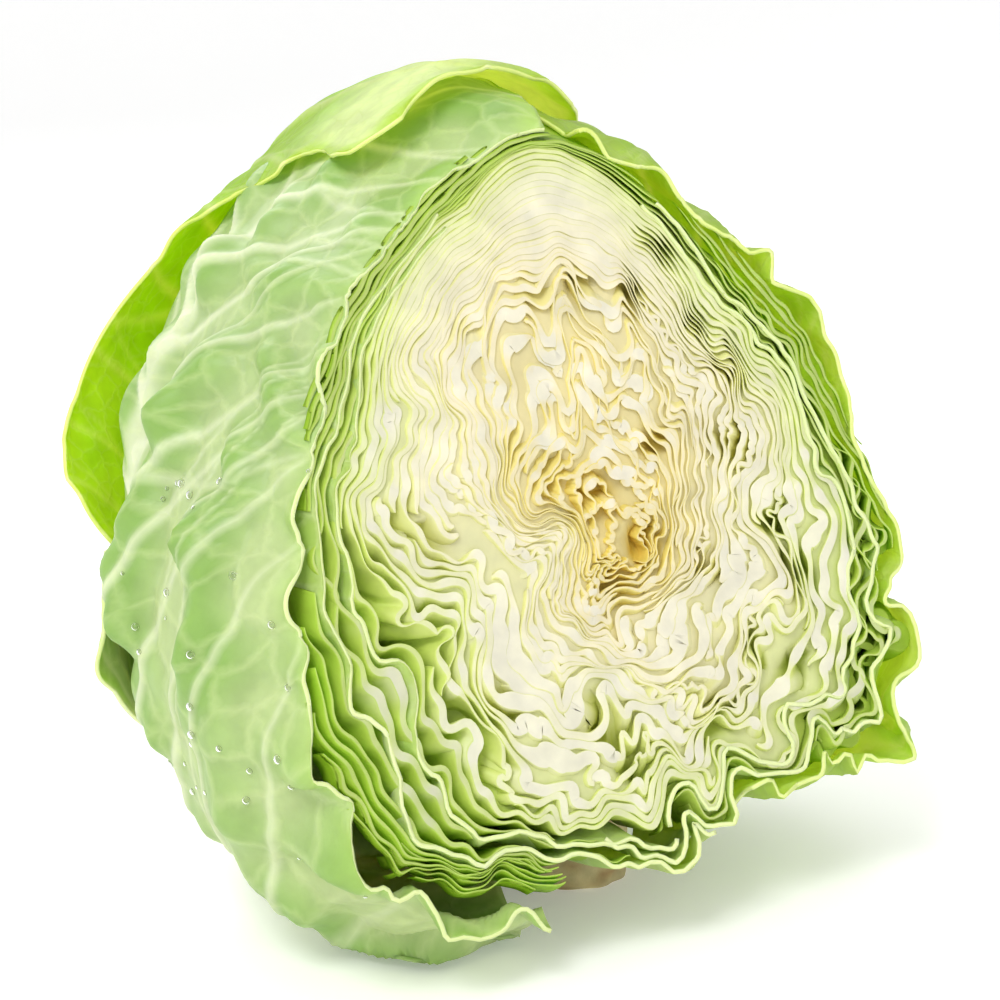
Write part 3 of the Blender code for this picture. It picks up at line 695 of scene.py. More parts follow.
# Places where the blades are crimped: level, angle, width in degrees, height in mm, and one wave in degrees
CRIMPS = (
    (0.400, 312, 26, 1.3, 6.5), (0.600, 278, 22, 1.3, 5.0), (0.640, 300, 26, 1.3, 5.0),
    (0.730, 262, 24, 1.5, 5.2), (0.690, 332, 24, 1.2, 5.0), (0.560, 340, 26, 1.0, 5.5),
    (0.450, 50, 26, 1.0, 6.0), (0.440, 340, 24, 1.1, 6.5), (0.780, 230, 26, 1.6, 5.5),
    (0.520, 205, 26, 1.2, 6.0), (0.820, 300, 26, 1.6, 5.0), (0.820, 210, 30, 1.8, 6.5),
    (0.909, 186, 24, 1.5, 14.0), (0.943, 190, 24, 2.4, 14.0), (0.876, 322, 36, 2.4, 9.0),
    (0.910, 334, 34, 2.8, 10.5), (0.944, 340, 30, 2.6, 9.5), (0.973, 352, 26, 2.0, 8.5),
)


def crimped(draw, level, step, fine=0.28):
    """The own small waves of one blade, fine mm high, and its crimps."""
    own = draw.uniform(0, TURN)
    rows = [row for row in CRIMPS if abs(row[0] - level) < 0.5 * step]

    def at(angle, deep):
        calm = (1 - 0.65 * swell(angle, 92, 75)) * math.exp(-deep / 16)
        beat = np.sin(3 * angle + own)
        slow = np.sin(31 * angle + own + 0.05 * deep) * beat
        quick = 0.8 * np.sin(53 * angle + 2 * own) * (1 - beat**2)
        wave = fine * calm * (slow + quick)
        for _, middle, width, high, length in rows:
            saw = np.sin(np.degrees(angle) / length * TURN + own)
            wave = wave + high * swell(angle, middle, width) * saw * math.exp(-deep / 10)
        return wave

    return at


tight_draw = random.Random(5)
tight_blades = []
TIGHT_STEP = TIGHT_LEVELS[1] - TIGHT_LEVELS[0]
for level in TIGHT_LEVELS:
    gap_middle = tight_draw.uniform(165, 345)
    gap_width = tight_draw.uniform(8, 34)
    phase = tight_draw.uniform(0, TURN)

    def level_at(angle, level=level, phase=phase):
        return level + 0.006 * np.sin(2 * angle + phase) * (1 - 0.5 * swell(angle, 90, 70))

    def share_at(angle, phase=phase, level=level):
        pressed = 0.92 + 0.09 * np.sin(3 * angle + phase) + 0.06 * np.sin(7 * angle - phase)
        pressed = pressed + 0.17 * swell(angle, 92, 64) - 0.16 * smooth(level, 0.72, 0.82)
        return pressed - 0.10 * swell(angle, 205, 50) * smooth(level, 0.6, 0.8)

    tight_blades.append(cut_blade(
        level_at, gap_middle + gap_width / 2, gap_middle + 360 - gap_width / 2,
        lambda angle: np.full_like(angle, TIGHT_STEP), share_at, crimped(tight_draw, level, TIGHT_STEP),
    ))

for part_name, chosen in (
    ("tight_leaves_inner", tight_blades[:6]),
    ("tight_leaves_middle", tight_blades[6:12]),
    ("tight_leaves_outer", tight_blades[12:]),
):
    piece = joined(part_name, chosen)
    piece.data.materials.append(tight_flesh)
    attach(piece, "root")
    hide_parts("tight_leaves")

# Margins of the loose leaves. Where a loose leaf ends near the cut, its folded margin shows as one more thin
# green edge between its neighbours: fanned out at the lower left, wavy at the right, flat at the upper left.
MARGIN_STEP = 0.034
# Each row: level, first and last angle in degrees, share of its room, part of the usual depth that it goes
# back, mm that it ends short of the cut
UPPER_LEFT_MARGINS = (
    (0.875, 60, 250, 0.36, 1, 0), (0.909, 63, 256, 0.36, 1, 0), (0.943, 66, 236, 0.36, 1, 0),
    (0.977, 70, 176, 0.36, 0.3, 0), (0.998, 76, 164, 0.36, 0.12, 0), (1.016, 88, 164, 0.36, 0.10, 0),
    (1.034, 98, 162, 0.36, 0.08, 0), (1.052, 104, 158, 0.36, 0.08, 0),
)
FAN_MARGINS = (
    (0.977, 188, 262, 0.30, 1, 0), (1.008, 193, 250, 0.30, 0.8, 0), (1.036, 199, 249, 0.30, 0.5, 0),
    (1.064, 204, 248, 0.30, 0.4, 0), (1.092, 209, 248, 0.30, 0.3, 0), (1.118, 217, 247, 0.30, 0.12, 0),
)
RIGHT_MARGINS = (
    (0.875, 276, 426, 0.44, 1, 0), (0.909, 300, 420, 0.44, 1, 0), (0.943, 322, 416, 0.44, 1, 0),
    (0.972, 338, 410, 0.44, 1, 0), (1.000, 344, 422, 0.40, 0.25, 0), (1.026, 350, 419, 0.40, 0.12, 0.3),
    (1.052, 356, 413, 0.38, 0.10, 0.6), (1.078, 363, 407, 0.36, 0.08, 0.9),
)
BETWEEN_RIGHT_MARGINS = (
    (0.850, 268, 428, 0.80, 0.5, 2.6), (0.884, 280, 424, 0.80, 0.5, 2.8), (0.918, 300, 422, 0.80, 0.5, 3.0),
    (0.952, 318, 418, 0.80, 0.5, 3.2), (0.980, 334, 410, 0.60, 0.4, 3.4),
)
BEHIND_FAN_MARGINS = (
    (1.050, 226, 251, 0.34, 0.5, 0.5), (1.080, 226, 252, 0.34, 0.5, 1.0), (1.110, 227, 252, 0.34, 0.4, 1.5),
    (1.135, 230, 247, 0.34, 0.3, 1.5),
)
# Margins that start before this angle draw together at its lower end; those past the other are at the right
DRAWN_IN_BEFORE = 225
RIGHT_FROM = 260
margin_draw = random.Random(31)
margin_blades = {"loose_leaf_margins_left": [], "loose_leaf_margins_right": []}
for level, first, last, share, reach, short_mm in (
    *UPPER_LEFT_MARGINS, *FAN_MARGINS, *RIGHT_MARGINS, *BETWEEN_RIGHT_MARGINS, *BEHIND_FAN_MARGINS,
):
    phase = margin_draw.uniform(0, TURN)

    def level_at(angle, level=level, phase=phase, first=first):
        drawn_in = 0.8 * max(level - 1, 0) * swell(angle, 248, 24) * (first < DRAWN_IN_BEFORE)
        return level - drawn_in + 0.004 * np.sin(3 * angle + phase)

    def share_at(angle, share=share, phase=phase):
        return share * (1 + 0.25 * np.sin(5 * angle + phase))

    side_name = "loose_leaf_margins_right" if first > RIGHT_FROM else "loose_leaf_margins_left"
    margin_blades[side_name].append(cut_blade(
        level_at, first, last, lambda angle: np.full_like(angle, MARGIN_STEP),
        share_at, crimped(margin_draw, level, MARGIN_STEP, fine=0.45), reach=reach, short_mm=short_mm,
    ))
margin_flesh = flesh_material("thin cut margins", roughness=0.42, through=0.45)
for side_name, side_blades in margin_blades.items():
    margins = joined(side_name, side_blades)
    margins.data.materials.append(margin_flesh)
    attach(margins, "root")
    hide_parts("loose_leaf_3", "loose_leaf_4")

# Head core. The rest of the tight leaves, behind the cut: a firm ball whose front is the floor of the
# grooves and whose outside carries the loose leaves.
# The lowest height of a cup: at level 1, more per level inside, less outside, and at least
SAG_HEIGHT = 0.0072
SAG_INSIDE = 0.085
SAG_OUTSIDE = 0.068
SAG_LEAST = 0.0008
SAG_SOFTNESS = 0.008
# Where wrappers hang: height, angle and width in degrees, and the level it starts at and over how much
HANG_HEIGHT = 0.020
HANG_ANGLE = 234
HANG_WIDTH = 62
HANG_LEVELS = (0.975, 0.04)
CORNER_SAG = 0.09
CORNER_REACH = 0.30
BELLY_HEIGHT = 0.009
BELLY_ANGLE = 288
BELLY_WIDTH = 65
BELLY_LEVELS = (1.035, 0.03)


def sines(seed, count, slowest, fastest):
    """A seeded set of waves round the face: how often each repeats, its slant with depth, phase, height."""
    draw = random.Random(seed)
    rows = []
    for _ in range(count):
        repeats = draw.randint(slowest, fastest)
        rows.append((repeats, draw.uniform(-30, 30), draw.uniform(0, TURN), slowest / repeats))
    scale = math.sqrt(sum(row[3] ** 2 for row in rows))
    return [(repeats, slant, phase, height / scale) for repeats, slant, phase, height in rows]


def ripple(waves, angle, depth):
    return sum(
        height * np.sin(repeats * angle + slant * depth + phase) for repeats, slant, phase, height in waves
    )


CRUMPLE = sines(11, 7, 3, 9)
CRUMPLE_HEIGHT = 0.0022
FRILL = sines(17, 5, 13, 21)
FRILL_HEIGHT = 0.0026
FRILL_LEVEL = 0.80
# Where the frills are: how strong, and angle and width in degrees
FRILLY = ((1, 328, 62), (0.6, 222, 50), (0.3, 40, 60))


def hump(value, low, high):
    return np.sin(np.clip((value - low) / (high - low), 0, 1) * math.pi)


def hang(level, angle, way):
    """The wrappers hang lower at the lower left and at the back, where they lie on the table."""
    corner = np.clip((level - HANG_LEVELS[0]) / HANG_LEVELS[1], 0, 1)
    corner = corner * swell(angle, HANG_ANGLE, HANG_WIDTH)
    belly = np.clip((level - BELLY_LEVELS[0]) / BELLY_LEVELS[1], 0, 1)
    belly = belly * swell(angle, BELLY_ANGLE, BELLY_WIDTH)
    corner_hang = HANG_HEIGHT * corner * hump(way, -0.02, 0.60) ** 0.8
    return corner_hang + BELLY_HEIGHT * belly * hump(way, 0.10, 0.95)


def crumple(level, angle, way):
    """How far a leaf waves out from its cup. It is least at the top, where leaves lie flat on each other."""
    near_cut = np.clip(1 - way, 0, 1) ** 3
    calm_top = 1 - 0.75 * swell(angle, 95, 75)
    wave = CRUMPLE_HEIGHT * calm_top * ripple(CRUMPLE, angle, way)
    frilly = np.clip((level - FRILL_LEVEL) / (1 - FRILL_LEVEL), 0, 1) * swells(angle, FRILLY)
    return near_cut * (wave + FRILL_HEIGHT * frilly * ripple(FRILL, angle, way)) + hang(level, angle, way)


def sagged(point, level, angle, way):
    """Lifts what would lie below the table onto it, and keeps inner cups above outer ones."""
    level = level + CORNER_SAG * swell(angle, HANG_ANGLE, HANG_WIDTH) * np.clip(1 - way / CORNER_REACH, 0, 1)
    lowest = SAG_HEIGHT + SAG_INSIDE * np.maximum(1 - level, 0) - SAG_OUTSIDE * np.maximum(level - 1, 0)
    lowest = np.maximum(lowest, SAG_LEAST)
    height = point[..., 2]
    raised = lowest + SAG_SOFTNESS * np.logaddexp(0, (height - lowest) / SAG_SOFTNESS)
    point = point.copy()
    point[..., 2] = raised - SAG_SOFTNESS * math.log(2) * np.exp(-np.abs(height - lowest) / SAG_SOFTNESS)
    return point


def capped(rows, columns, start=0):
    """Faces of a closed piece made of rings, with a cap at each end."""
    return [
        band_faces(rows, columns, start, wrap_columns=True),
        np.arange(columns)[None, ::-1] + start,
        np.arange(columns)[None, :] + start + (rows - 1) * columns,
    ]


CORE_COLUMNS = 420
CORE_LEVEL = 0.815
CORE_SHOULDER = 0.035
CORE_SKIN = linear((0.80, 0.90, 0.52))
FLOOR_LEVELS = np.linspace(0.02, CORE_LEVEL + 0.023, 82)
# Painted shade on the groove floor: it is paler where it is no deeper than this, in mm, and takes the darker
# slit colour, painted shade and glow, from the second depth on
FLOOR_SHADE_DEPTHS_MM = (2.0, 4.0)
core_angle = np.linspace(0, TURN, CORE_COLUMNS, endpoint=False)
core_rows, core_tints = [], []
for level in FLOOR_LEVELS:
    deep = groove_floor(level, core_angle)
    core_rows.append(to_world(slice_point(level, core_angle, deep), deep))
    # painted shade: the floor turns from the pale edge colour to the darker slit colour as it gets deeper
    paler = 0.62 * (1 - smooth(deep * 1000, *FLOOR_SHADE_DEPTHS_MM))
    core_tints.append(blend(shade(PAINTED_SLIT_SHADE_AND_GLOW, level), shade(EDGE_SHADES, level), paler))
for way in np.linspace(0.14, 1.0, 30):
    level = CORE_LEVEL + CORE_SHOULDER - CORE_SHOULDER * min(way / 0.15, 1)
    waved = level + crumple(0.824, core_angle, way) / LEVEL_SPAN
    place, back = cup(waved, core_angle, way=way)
    core_rows.append(sagged(to_world(place, back), level, core_angle, way))
    core_tints.append(np.tile(CORE_SKIN, (CORE_COLUMNS, 1)))
core = mesh_of("head_core", core_rows, capped(len(core_rows), CORE_COLUMNS), core_tints)
core.data.materials.append(tight_flesh)
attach(core, "root")
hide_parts("tight_leaves")

# Heart. The youngest leaves: small, soft, yellow and thin, crumpled into the middle of the head. Down in the
# hollows the yellow deepens with depth behind the cut, partly the young leaves' own colour and partly painted
# shade and glow.
HEART_BLADES = 17
HEART_LEVELS = np.linspace(0.045, 0.352, HEART_BLADES)
HEART_STEP = HEART_LEVELS[1] - HEART_LEVELS[0]
heart_flesh = flesh_material("yellow heart flesh", roughness=0.42, through=0.30)
heart_draw = random.Random(23)
heart_blades = []
for number, level in enumerate(HEART_LEVELS):
    # every other one is short: it only lies in the wide upper part of the heart
    short = number % 2 == 1
    gap_middle = heart_draw.uniform(250, 290) if short else heart_draw.uniform(0, 360)
    gap_width = heart_draw.uniform(150, 190) if short else heart_draw.uniform(10, 40)
    phase = heart_draw.uniform(0, TURN)
    own_phase = heart_draw.uniform(0, TURN)

    def level_at(angle, level=level, phase=phase):
        upper = 0.006 * np.sin(5 * angle - phase) * swell(angle, 85, 80)
        return level + 0.006 * np.sin(2 * angle + phase) + upper

    def spacing_at(angle):
        return HEART_STEP * (1 + swell(angle, 270, 110))

    def share_at(angle, phase=phase):
        waves = 0.84 + 0.16 * np.sin(3 * angle + phase) + 0.08 * np.sin(7 * angle + phase)
        return waves + 0.2 * swell(angle, 270, 80)

    def ruffle_at(angle, deep, own=own_phase):
        upper = 0.30 + 0.9 * swell(angle, 85, 95)
        waves = np.sin(9 * angle + own + 0.05 * deep) + 0.6 * np.sin(17 * angle + 2 * own)
        waves = waves + 0.35 * np.sin(31 * angle + 3 * own)
        return waves * upper * math.exp(-deep / 22)

    heart_blades.append(cut_blade(
        level_at, gap_middle + gap_width / 2, gap_middle + 360 - gap_width / 2,
        spacing_at, share_at, ruffle_at, step_mm=0.42, radius_mm=14 + 60 * level,
    ))
heart = joined("heart_blades", heart_blades)
heart.data.materials.append(heart_flesh)
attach(heart, "root")
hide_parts("heart_leaves")

# Stalk. The thick woody stem that carried the head, sawn straight below its lowest leaves: a fibrous brown
# ring round paler pith, bruised and dry at the cut.
STALK_RADIUS = 0.0162
STALK_TOP_RADIUS = 0.0152
STALK_HEIGHT = 0.0249
STALK_COLUMNS = 96
STALK_INSET = 0.0004
STALK_BUMPS = 0.00035
STALK_BARK = linear((0.80, 0.74, 0.55))
STALK_SCAR = linear((0.66, 0.52, 0.34))
STALK_PITH = linear((0.88, 0.84, 0.66))
# Rings: part of the radius, and height
STALK_RINGS = (
    (0.35, 0.0), (0.70, 0.0), (0.93, 0.0), (0.985, 0.0005), (1.0, 0.0016), (1.0, 0.004), (1.0, 0.007),
    (1.0, 0.010), (1.0, 0.013), (1.0, 0.016), (1.0, 0.019), (1.0, 0.022), (1.0, STALK_HEIGHT),
)
BARK_FROM = 0.95
stalk_angle = np.linspace(0, TURN, STALK_COLUMNS, endpoint=False)
stalk_rows, stalk_tints = [], []
for inward, height in STALK_RINGS:
    radius = (STALK_RADIUS + (STALK_TOP_RADIUS - STALK_RADIUS) * height / STALK_HEIGHT) * inward
    bumps = STALK_BUMPS * ripple(sines(61, 6, 5, 17), stalk_angle, height * 20) * smooth(inward, 0.7, 1.0)
    stalk_rows.append(np.stack([
        STALK_PLACE[0] + (radius + bumps - STALK_INSET) * np.cos(stalk_angle),
        STALK_PLACE[1] + (radius + bumps - STALK_INSET) * np.sin(stalk_angle),
        np.full(STALK_COLUMNS, height),
    ], -1))
    scar = smooth(ripple(sines(62, 5, 2, 9), stalk_angle, height * 40), 0.2, 1.2)
    bark = blend(np.tile(STALK_BARK, (STALK_COLUMNS, 1)), STALK_SCAR, scar * 0.8)
    stalk_tints.append(bark if inward > BARK_FROM else np.tile(STALK_PITH, (STALK_COLUMNS, 1)))
stalk = mesh_of("stalk_end", stalk_rows, capped(len(stalk_rows), STALK_COLUMNS), stalk_tints)
stalk_flesh = flesh_material("cut stalk", roughness=0.6, subsurface=0.15, mottle=0.3, grain_mm=0.9)
stalk.data.materials.append(stalk_flesh)
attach(stalk, "root")
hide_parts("stalk")

# Loose leaves. Four fresh green leaves that close round the tight ones, each grown from the stalk and cut
# through in front; between them they leave deep green gaps at the left of the cut.
ROOT_RISE = 12
WIDEST_AT = 0.60
TIP_AT = 1.03
CLASPING_ROOT = 0.88
MIDDLE = to_world(RIM_MIDDLE, CUT_OFFSET)
DOWN = (STALK_PLACE - MIDDLE) / np.linalg.norm(STALK_PLACE - MIDDLE)
NORTH = np.cross(FACE_RIGHT, DOWN) / np.linalg.norm(np.cross(FACE_RIGHT, DOWN))
EAST = np.cross(DOWN, NORTH)
BLADE = 0.0011
LEAF_RADIUS_MM = 95
FIRST_VEIN_MM = 24
RIB_RELIEF_MM = 1.6
FRILL_MM = 1.2
PUCKER_WIDTH_MM = 7
# Columns stand closer near the midrib
COLUMN_CROWDING = 1.15
# Waves of the blade: how many, and from crest to crest in mm
BLADE_WAVES = 14
BLADE_WAVE_MM = (14, 40)
# Over this part of its way back, a leaf that another one covers loses its relief
COVER_FADE = 0.18
COVERED_SHARE = 0.97
# What a leaf looks like unless its own looks say otherwise. Veins: steps between them in mm along the midrib,
# how many, slope. Relief in mm: veins, puckers between them, waves, and the lowest that it may go.
PLAIN_LOOKS = {
    "vein_step": 24, "veins": 18, "slope": 0.75, "vein_mm": 0.5, "pucker_mm": 0.5, "wave_mm": 0.6,
    "lowest_mm": -3.0, "covered_from": 2, "flat_tip": 0, "clouding": 0.5, "vein_paint": 0.75,
}


def round_the_face(direction):
    """Angle and way on the closing leaf of a direction from the middle of the head."""
    up = direction[..., 2] / FACE_UP[2]
    back = direction[..., 1] - up * FACE_UP[1]
    right = direction[..., 0]
    angle = np.arctan2(up, right)
    cut_angle = math.acos(CUT_OFFSET / HEAD_DEPTH)
    widest = periodic(RIM_RADII, angle) / math.sin(cut_angle)
    swing = np.arctan2(np.hypot(right, up) / widest, -back / HEAD_DEPTH)
    return angle, (swing - cut_angle) / (math.pi - cut_angle)


def leaf_half_width(along, widest, root):
    foot = root + (1 - root) * np.sin(np.clip(along / WIDEST_AT, 0, 1) * math.pi / 2)
    tip = np.clip((along - WIDEST_AT) / (TIP_AT - WIDEST_AT), 0, 1)
    return widest * foot * np.sqrt(1 - tip**2.8)


def side_veins(across_mm, along_mm, spacing, count, slope, seed):
    """Strength of the side veins at a place on a blade, and how far the nearest one is, in mm. Veins leave
    the midrib in turn to each side and bend towards the tip."""
    draw = random.Random(seed)
    strength = np.zeros_like(across_mm)
    nearest = np.full_like(across_mm, 1e3)
    for number in range(count):
        side = 1 if number % 2 else -1
        start = FIRST_VEIN_MM + spacing * number / 2 + draw.uniform(-0.2, 0.2) * spacing
        bend = draw.uniform(0.8, 1.2)
        wobble = draw.uniform(0, TURN)
        out = np.maximum(across_mm * side, 0)
        path = start + slope * bend * out + 0.0022 * out**2 + 1.8 * np.sin(out / 9 + wobble)
        off = np.abs(along_mm - path) / math.sqrt(1 + (slope * bend) ** 2)
        off = np.where(across_mm * side > 0, off, 1e3)
        width = 1.5 * np.exp(-out / 90) + 0.25
        strength = np.maximum(strength, np.exp(-((off / width) ** 2)) * np.exp(-out / 110))
        # each vein forks once
        fork_at = draw.uniform(16, 34)
        fork_out = np.maximum(out - fork_at, 0)
        fork = path + (0.55 + 0.5 * draw.random()) * fork_out * (1 if draw.random() > 0.4 else -1)
        fork_off = np.where((across_mm * side > fork_at), np.abs(along_mm - fork) / 1.5, 1e3)
        fork_strength = 0.7 * np.exp(-((fork_off / (width * 0.75)) ** 2)) * np.exp(-out / 120)
        strength = np.maximum(strength, fork_strength)
        nearest = np.minimum(nearest, np.minimum(off, fork_off))
    return strength, nearest


def blade_sheet(name, azimuth, level, end, widest, grid, looks, lift=None, root=CLASPING_ROOT):
    """A whole leaf from its root to end degrees up from the stalk, and widest degrees to each side of its
    midrib, with its veins raised and its blade puckered between them, cut where the knife went through."""
    looks = {**PLAIN_LOOKS, **looks}
    row = np.linspace(-1, 1, grid[0])
    across = (np.sign(row) * np.abs(row) ** COLUMN_CROWDING)[None, :] * np.ones((grid[1], 1))
    along = np.linspace(0, 1, grid[1])[:, None] * np.ones((1, grid[0]))
    turn = math.radians(azimuth)
    rise = np.radians(ROOT_RISE + (end - ROOT_RISE) * along)
    outward = math.cos(turn) * EAST + math.sin(turn) * NORTH
    sideways = -math.sin(turn) * EAST + math.cos(turn) * NORTH
    midrib = np.sin(rise)[..., None] * outward + np.cos(rise)[..., None] * DOWN
    lean = np.radians(across * leaf_half_width(along, widest, root))[..., None]
    if "trim" in looks:
        lean = lean * looks["trim"](across, along)[..., None]
    direction = np.cos(lean) * midrib + np.sin(lean) * sideways
    angle, way = round_the_face(direction)
    across_mm = lean[..., 0] * LEAF_RADIUS_MM
    along_mm = rise * LEAF_RADIUS_MM
    margin = np.maximum(np.abs(across), np.clip((along - 0.72) / 0.28, 0, 1))
    veins, nearest = side_veins(
        across_mm, along_mm, looks["vein_step"], looks["veins"], looks["slope"], looks["seed"]
    )
    rib_width = 3.6 * (1 - 0.75 * along) + 0.5
    midrib_strength = np.exp(-((across_mm / rib_width) ** 2))
    relief = looks["vein_mm"] * veins + RIB_RELIEF_MM * midrib_strength * (1 - 0.7 * along)
    pucker = 1 - np.exp(-((np.minimum(nearest, 60) / PUCKER_WIDTH_MM) ** 2))
    draw = random.Random(looks["seed"] + 100)
    waves = 0
    for _ in range(BLADE_WAVES):
        bearing = draw.uniform(0, TURN)
        pitch = TURN / draw.uniform(*BLADE_WAVE_MM)
        run = (across_mm * math.cos(bearing) + along_mm * math.sin(bearing)) * pitch
        waves = waves + np.sin(run + draw.uniform(0, TURN))
    waves = waves / math.sqrt(BLADE_WAVES / 2)
    relief = relief + looks["pucker_mm"] * pucker * (0.6 + 0.6 * waves)
    relief = relief + looks["wave_mm"] * waves
    frill = FRILL_MM * smooth(margin, 0.80, 1.0)
    edge_run = along_mm * 0.8 + across_mm * 0.55
    relief = relief + frill * (np.sin(edge_run / 4.4) + 0.6 * np.sin(edge_run / 2.3 + 1))
    wave = crumple(level, angle, way)
    if lift is not None:
        wave = wave + lift(across, along, angle, way)
    relief = np.maximum(relief, looks["lowest_mm"])
    covered = smooth(way, looks["covered_from"], looks["covered_from"] + COVER_FADE)
    under_tip = looks["flat_tip"] * smooth(along, 0.70, 0.85)
    wave = wave + relief / 1000 * (1 - COVERED_SHARE * covered) * (1 - under_tip)
    gathered = level + lower_gather(level, angle, way * 0.22)
    place, back = cup(gathered + wave / LEVEL_SPAN, angle, way=way)
    place = folded(place, np.maximum(back, 0))
    points = sagged(to_world(place, back), level, angle, way)
    clouds = np.clip(0.5 + 0.35 * waves, 0, 1)
    tint = np.broadcast_to(linear(looks["high"]), (*along.shape, 3))
    for colour, part in (
        ("low", np.clip(1 - along * 1.6, 0, 1)),
        ("cloud", clouds * looks["clouding"]),
        # the tip colour, where a leaf has one, is partly painted light
        ("tip", smooth(along, 0.80, 0.92)),
        ("edge", smooth(margin, 0.86, 1.0) * 0.8),
        ("vein", np.clip(veins * looks["vein_paint"] + midrib_strength * 0.8, 0, 1)),
        ("at_cut", np.exp(-np.maximum(back, 0) / 0.004) * 0.45),
    ):
        if colour in looks:
            tint = blend(tint, linear(looks[colour]), part)
    blade_mm = np.stack([across_mm, along_mm, np.zeros_like(along)], -1)
    sheet = mesh_of(name, points, [band_faces(grid[1], grid[0])], tint, blade_mm)
    trimmed = bmesh.new()
    trimmed.from_mesh(sheet.data)
    everything = [*trimmed.verts, *trimmed.edges, *trimmed.faces]
    bmesh.ops.bisect_plane(
        trimmed, geom=everything, dist=1e-6, plane_co=FACE_ORIGIN, plane_no=-FACE_BACK, clear_outer=True
    )
    trimmed.to_mesh(sheet.data)
    trimmed.free()
    sheet.data.shade_smooth()
    sheet.data.materials.append(looks["material"])
    sheet.data.materials.append(looks["rim"])
    thicken = sheet.modifiers.new("blade", "SOLIDIFY")
    thicken.thickness = BLADE
    thicken.offset = 0
    thicken.material_offset_rim = 1
    return sheet


cut_rim = flesh_material("cut blade edge", roughness=0.4, subsurface=0.3, pale_rim=0.65)
fresh_skin = flesh_material(
    "fresh green blade skin", roughness=0.40, subsurface=0.20, net_mm=9, net_strength=0.30, through=0.35
)
FRESH = {
    "material": fresh_skin, "rim": cut_rim, "low": (0.86, 0.92, 0.60), "high": (0.74, 0.88, 0.38),
    "cloud": (0.66, 0.84, 0.30), "vein": (0.90, 0.95, 0.70), "edge": (0.82, 0.91, 0.45),
    "at_cut": (0.86, 0.94, 0.56),
}
for name, azimuth, level, end, widest, seed in (
    ("loose_leaf_1", 335, 0.858, 147, 84, 11),
    ("loose_leaf_2", 196, 0.892, 150, 82, 12),
    ("loose_leaf_3", 318, 0.926, 143, 84, 13),
    ("loose_leaf_4", 214, 0.960, 147, 78, 14),
):
    leaf = blade_sheet(name + "_blade", azimuth, level, end, widest, (190, 150), {**FRESH, "seed": seed})
    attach(leaf, "root")
    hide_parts(name)

# Wrapper leaves. Five large outer leaves with a waxy bloom, raised pale veins and wavy margins, torn at the
# edge of the right one. They hold the head together and rest on the table where they hang lowest.
BROAD_ROOT = 0.54
NARROW_ROOT = 0.15
# How far margins stand off: the right leaf's at the cut, its torn tab, the flap at the left, the tip that
# rolls over the top, and the low leaf's margin
CUT_MARGIN_OFF = 0.0115
TAB_OFF = 0.009
FLAP_OFF = 0.0140
TIP_OFF = 0.008
LOW_MARGIN_OFF = 0.0035


def at_margin(across, start):
    side = math.copysign(1, start)
    return np.clip((across * side - abs(start)) / (1 - abs(start)), 0, 1) ** 1.6


def right_lift(across, along, angle, way):
    """The cut margin stands away from the leaves inside it, with a small torn tab high up."""
    near_cut = np.clip(1 - way / 0.40, 0, 1)
    off = CUT_MARGIN_OFF * swell(angle, 33, 56) * near_cut * (1 + 0.12 * np.sin(along * 44))
    tab = TAB_OFF * swell(angle, 42, 4) * np.clip(1 - way / 0.10, 0, 1)
    return off + tab


def back_left_lift(across, along, angle, way):
    """The free margin flares out, and the tip rolls forward over the top of the head."""
    flap = np.clip((along - 0.40) / 0.10, 0, 1) * np.clip((0.80 - along) / 0.24, 0, 1)
    flare = FLAP_OFF * at_margin(across, 0.30) * flap * (1 + 0.12 * np.sin(along * 34))
    tip = np.clip((along - 0.84) / 0.16, 0, 1) ** 1.5
    return flare + TIP_OFF * tip * (0.7 + 0.5 * across)


def back_left_trim(across, along):
    """On its front side the leaf is narrow above the flap."""
    return 1 - 0.50 * (across > 0) * smooth(along, 0.46, 0.68) * (1 - smooth(along, 0.87, 0.99))


def low_trim(across, along):
    """On its front side the leaf stays narrow until it is clear of the table."""
    return 1 - 0.80 * (across > 0) * (1 - smooth(along, 0.48, 0.90))


def low_lift(across, along, angle, way):
    free = np.maximum(at_margin(across, 0.3), np.clip(along / 0.4 - 1.5, 0, 1))
    return LOW_MARGIN_OFF * free * (1 + 0.4 * np.sin(along * 18))


waxy_skin = flesh_material(
    "waxy pale green skin", roughness=0.44, subsurface=0.25, net_mm=11, net_strength=0.22, through=0.10
)
bright_skin = flesh_material(
    "bright thin green skin", roughness=0.40, subsurface=0.15, net_mm=5, net_strength=0.22, through=0.60
)
green_rim = flesh_material("green blade edge", roughness=0.42, subsurface=0.3, pale_rim=0.35)
WAXY = {
    "material": waxy_skin, "rim": cut_rim, "low": (0.75, 0.82, 0.56), "high": (0.72, 0.80, 0.56),
    "cloud": (0.53, 0.70, 0.31), "clouding": 0.85, "vein": (0.91, 0.94, 0.78), "vein_paint": 0.9,
    "edge": (0.70, 0.86, 0.34), "at_cut": (0.74, 0.88, 0.44),
}
BRIGHT = {
    "material": bright_skin, "rim": green_rim, "low": (0.86, 0.93, 0.46), "high": (0.80, 0.92, 0.20),
    "cloud": (0.74, 0.90, 0.12), "vein": (0.90, 0.96, 0.50), "edge": (0.82, 0.93, 0.20),
    "at_cut": (0.84, 0.93, 0.36),
}
